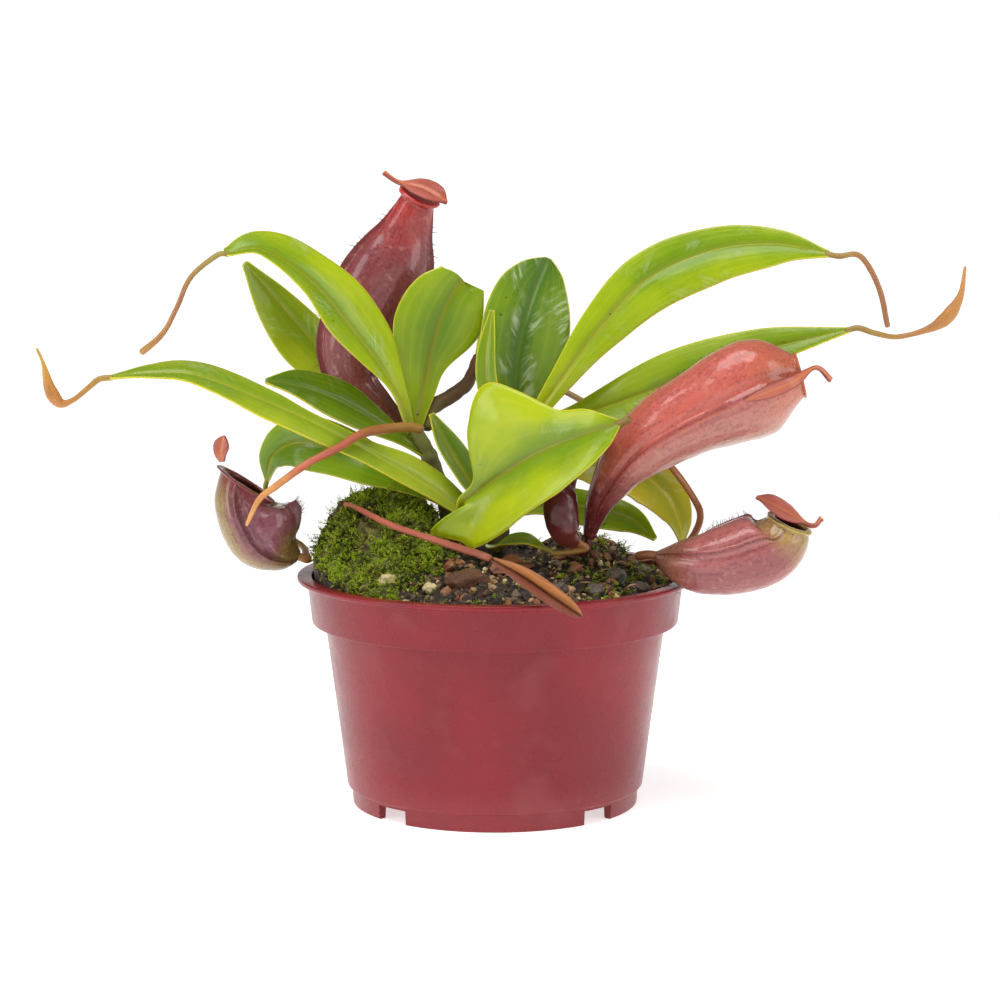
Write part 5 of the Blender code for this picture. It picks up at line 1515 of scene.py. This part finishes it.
class PLANT_OT_stage(bpy.types.Operator):
    """Sets the pale floor, the soft studio lights and the camera"""
    bl_idname = "plant.stage"
    bl_label = "Studio"

    def execute(self, context):
        settings = context.scene.plant_stage
        self.backdrop(settings)
        self.softbox("softbox_top", (-150, -300, 1100), (900, 700), settings.key)
        self.softbox("softbox_left", (-750, -450, 420), (260, 700), settings.fill)
        self.softbox("softbox_right", (850, -350, 450), (400, 700), settings.fill)
        world = bpy.data.worlds.new("studio")
        world.use_nodes = True
        background = world.node_tree.nodes["Background"]
        background.inputs["Color"].default_value = (1.0, 1.0, 1.0, 1.0)
        background.inputs["Strength"].default_value = settings.sky
        context.scene.world = world
        self.camera(context.scene, settings)
        context.scene.view_settings.view_transform = "Standard"
        return {"FINISHED"}

    def backdrop(self, settings):
        """A round lit table and a lit wall all round it."""
        table = turned_piece("studio_floor", [
            (0.0, 0.0), (TABLE_RADIUS, 0.0), (TABLE_RADIUS, -5.0), (0.0, -5.0)], STUDIO_SIDES)
        inside = WALL_RADIUS - WALL_THICKNESS
        wall = turned_piece("studio_wall", [
            (0.0, -12.0), (WALL_RADIUS, -12.0), (WALL_RADIUS, WALL_HEIGHT), (inside, WALL_HEIGHT),
            (inside, -8.0), (0.0, -8.0)], STUDIO_SIDES)
        for piece, colour, light in [(table, tuple(settings.floor), settings.glow),
                                     (wall, (0.0, 0.0, 0.0, 1.0), settings.wall)]:
            finish = Finish(piece.name, {
                "Base Color": colour, "Roughness": 0.9, "Specular IOR Level": 0.0,
                "Emission Color": (1.0, 1.0, 1.0, 1.0), "Emission Strength": light})
            piece.data.materials.append(finish.material)

    def softbox(self, name, place, size, power):
        light = bpy.data.lights.new(name, "AREA")
        light.shape = "RECTANGLE"
        light.size, light.size_y = (side * MM for side in size)
        light.energy = power
        lamp = bpy.data.objects.new(name, light)
        lamp.location = in_frame(place)
        target = Vector(in_frame(LIGHTS_AIM))
        lamp.rotation_euler = (target - lamp.location).to_track_quat("-Z", "Y").to_euler()
        bpy.context.scene.collection.objects.link(lamp)

    def camera(self, scene, settings):
        camera = bpy.data.objects.new("camera", bpy.data.cameras.new("camera"))
        camera.data.lens = settings.lens
        target = Vector(in_frame(CAMERA_AIM))
        back = Vector((0.0, -math.cos(settings.elevation), math.sin(settings.elevation)))
        camera.location = target + back * settings.distance
        camera.rotation_euler = (-back).to_track_quat("-Z", "Y").to_euler()
        scene.collection.objects.link(camera)
        scene.camera = camera


class PLANT_PT_sidebar(bpy.types.Panel):
    """Lists the plant's operators in the sidebar"""
    bl_label = "Pitcher Plant"
    bl_idname = "PLANT_PT_sidebar"
    bl_space_type = "VIEW_3D"
    bl_region_type = "UI"
    bl_category = "Pitcher Plant"

    def draw(self, context):
        for operator in OPERATORS:
            self.layout.operator(operator.bl_idname)
        for group in GROUPS:
            settings = getattr(context.scene, group)
            box = self.layout.box()
            for setting in settings.bl_rna.properties.keys():
                if setting not in ("rna_type", "name"):
                    box.prop(settings, setting)


OPERATORS = [
    PLANT_OT_pot, PLANT_OT_soil, PLANT_OT_grit, PLANT_OT_moss, PLANT_OT_stems, PLANT_OT_leaves,
    PLANT_OT_tendrils, PLANT_OT_pitchers, PLANT_OT_litter, PLANT_OT_stage,
]
CLASSES = [*GROUPS.values(), *OPERATORS, PLANT_PT_sidebar]


def register():
    for cls in CLASSES:
        bpy.utils.register_class(cls)
    for name, group in GROUPS.items():
        setattr(bpy.types.Scene, name, bpy.props.PointerProperty(type=group))


def unregister():
    for name in GROUPS:
        delattr(bpy.types.Scene, name)
    for cls in reversed(CLASSES):
        bpy.utils.unregister_class(cls)


def main():
    register()
    for operator in OPERATORS:
        module, name = operator.bl_idname.split(".")
        getattr(getattr(bpy.ops, module), name)()


if __name__ == "__main__":
    main()
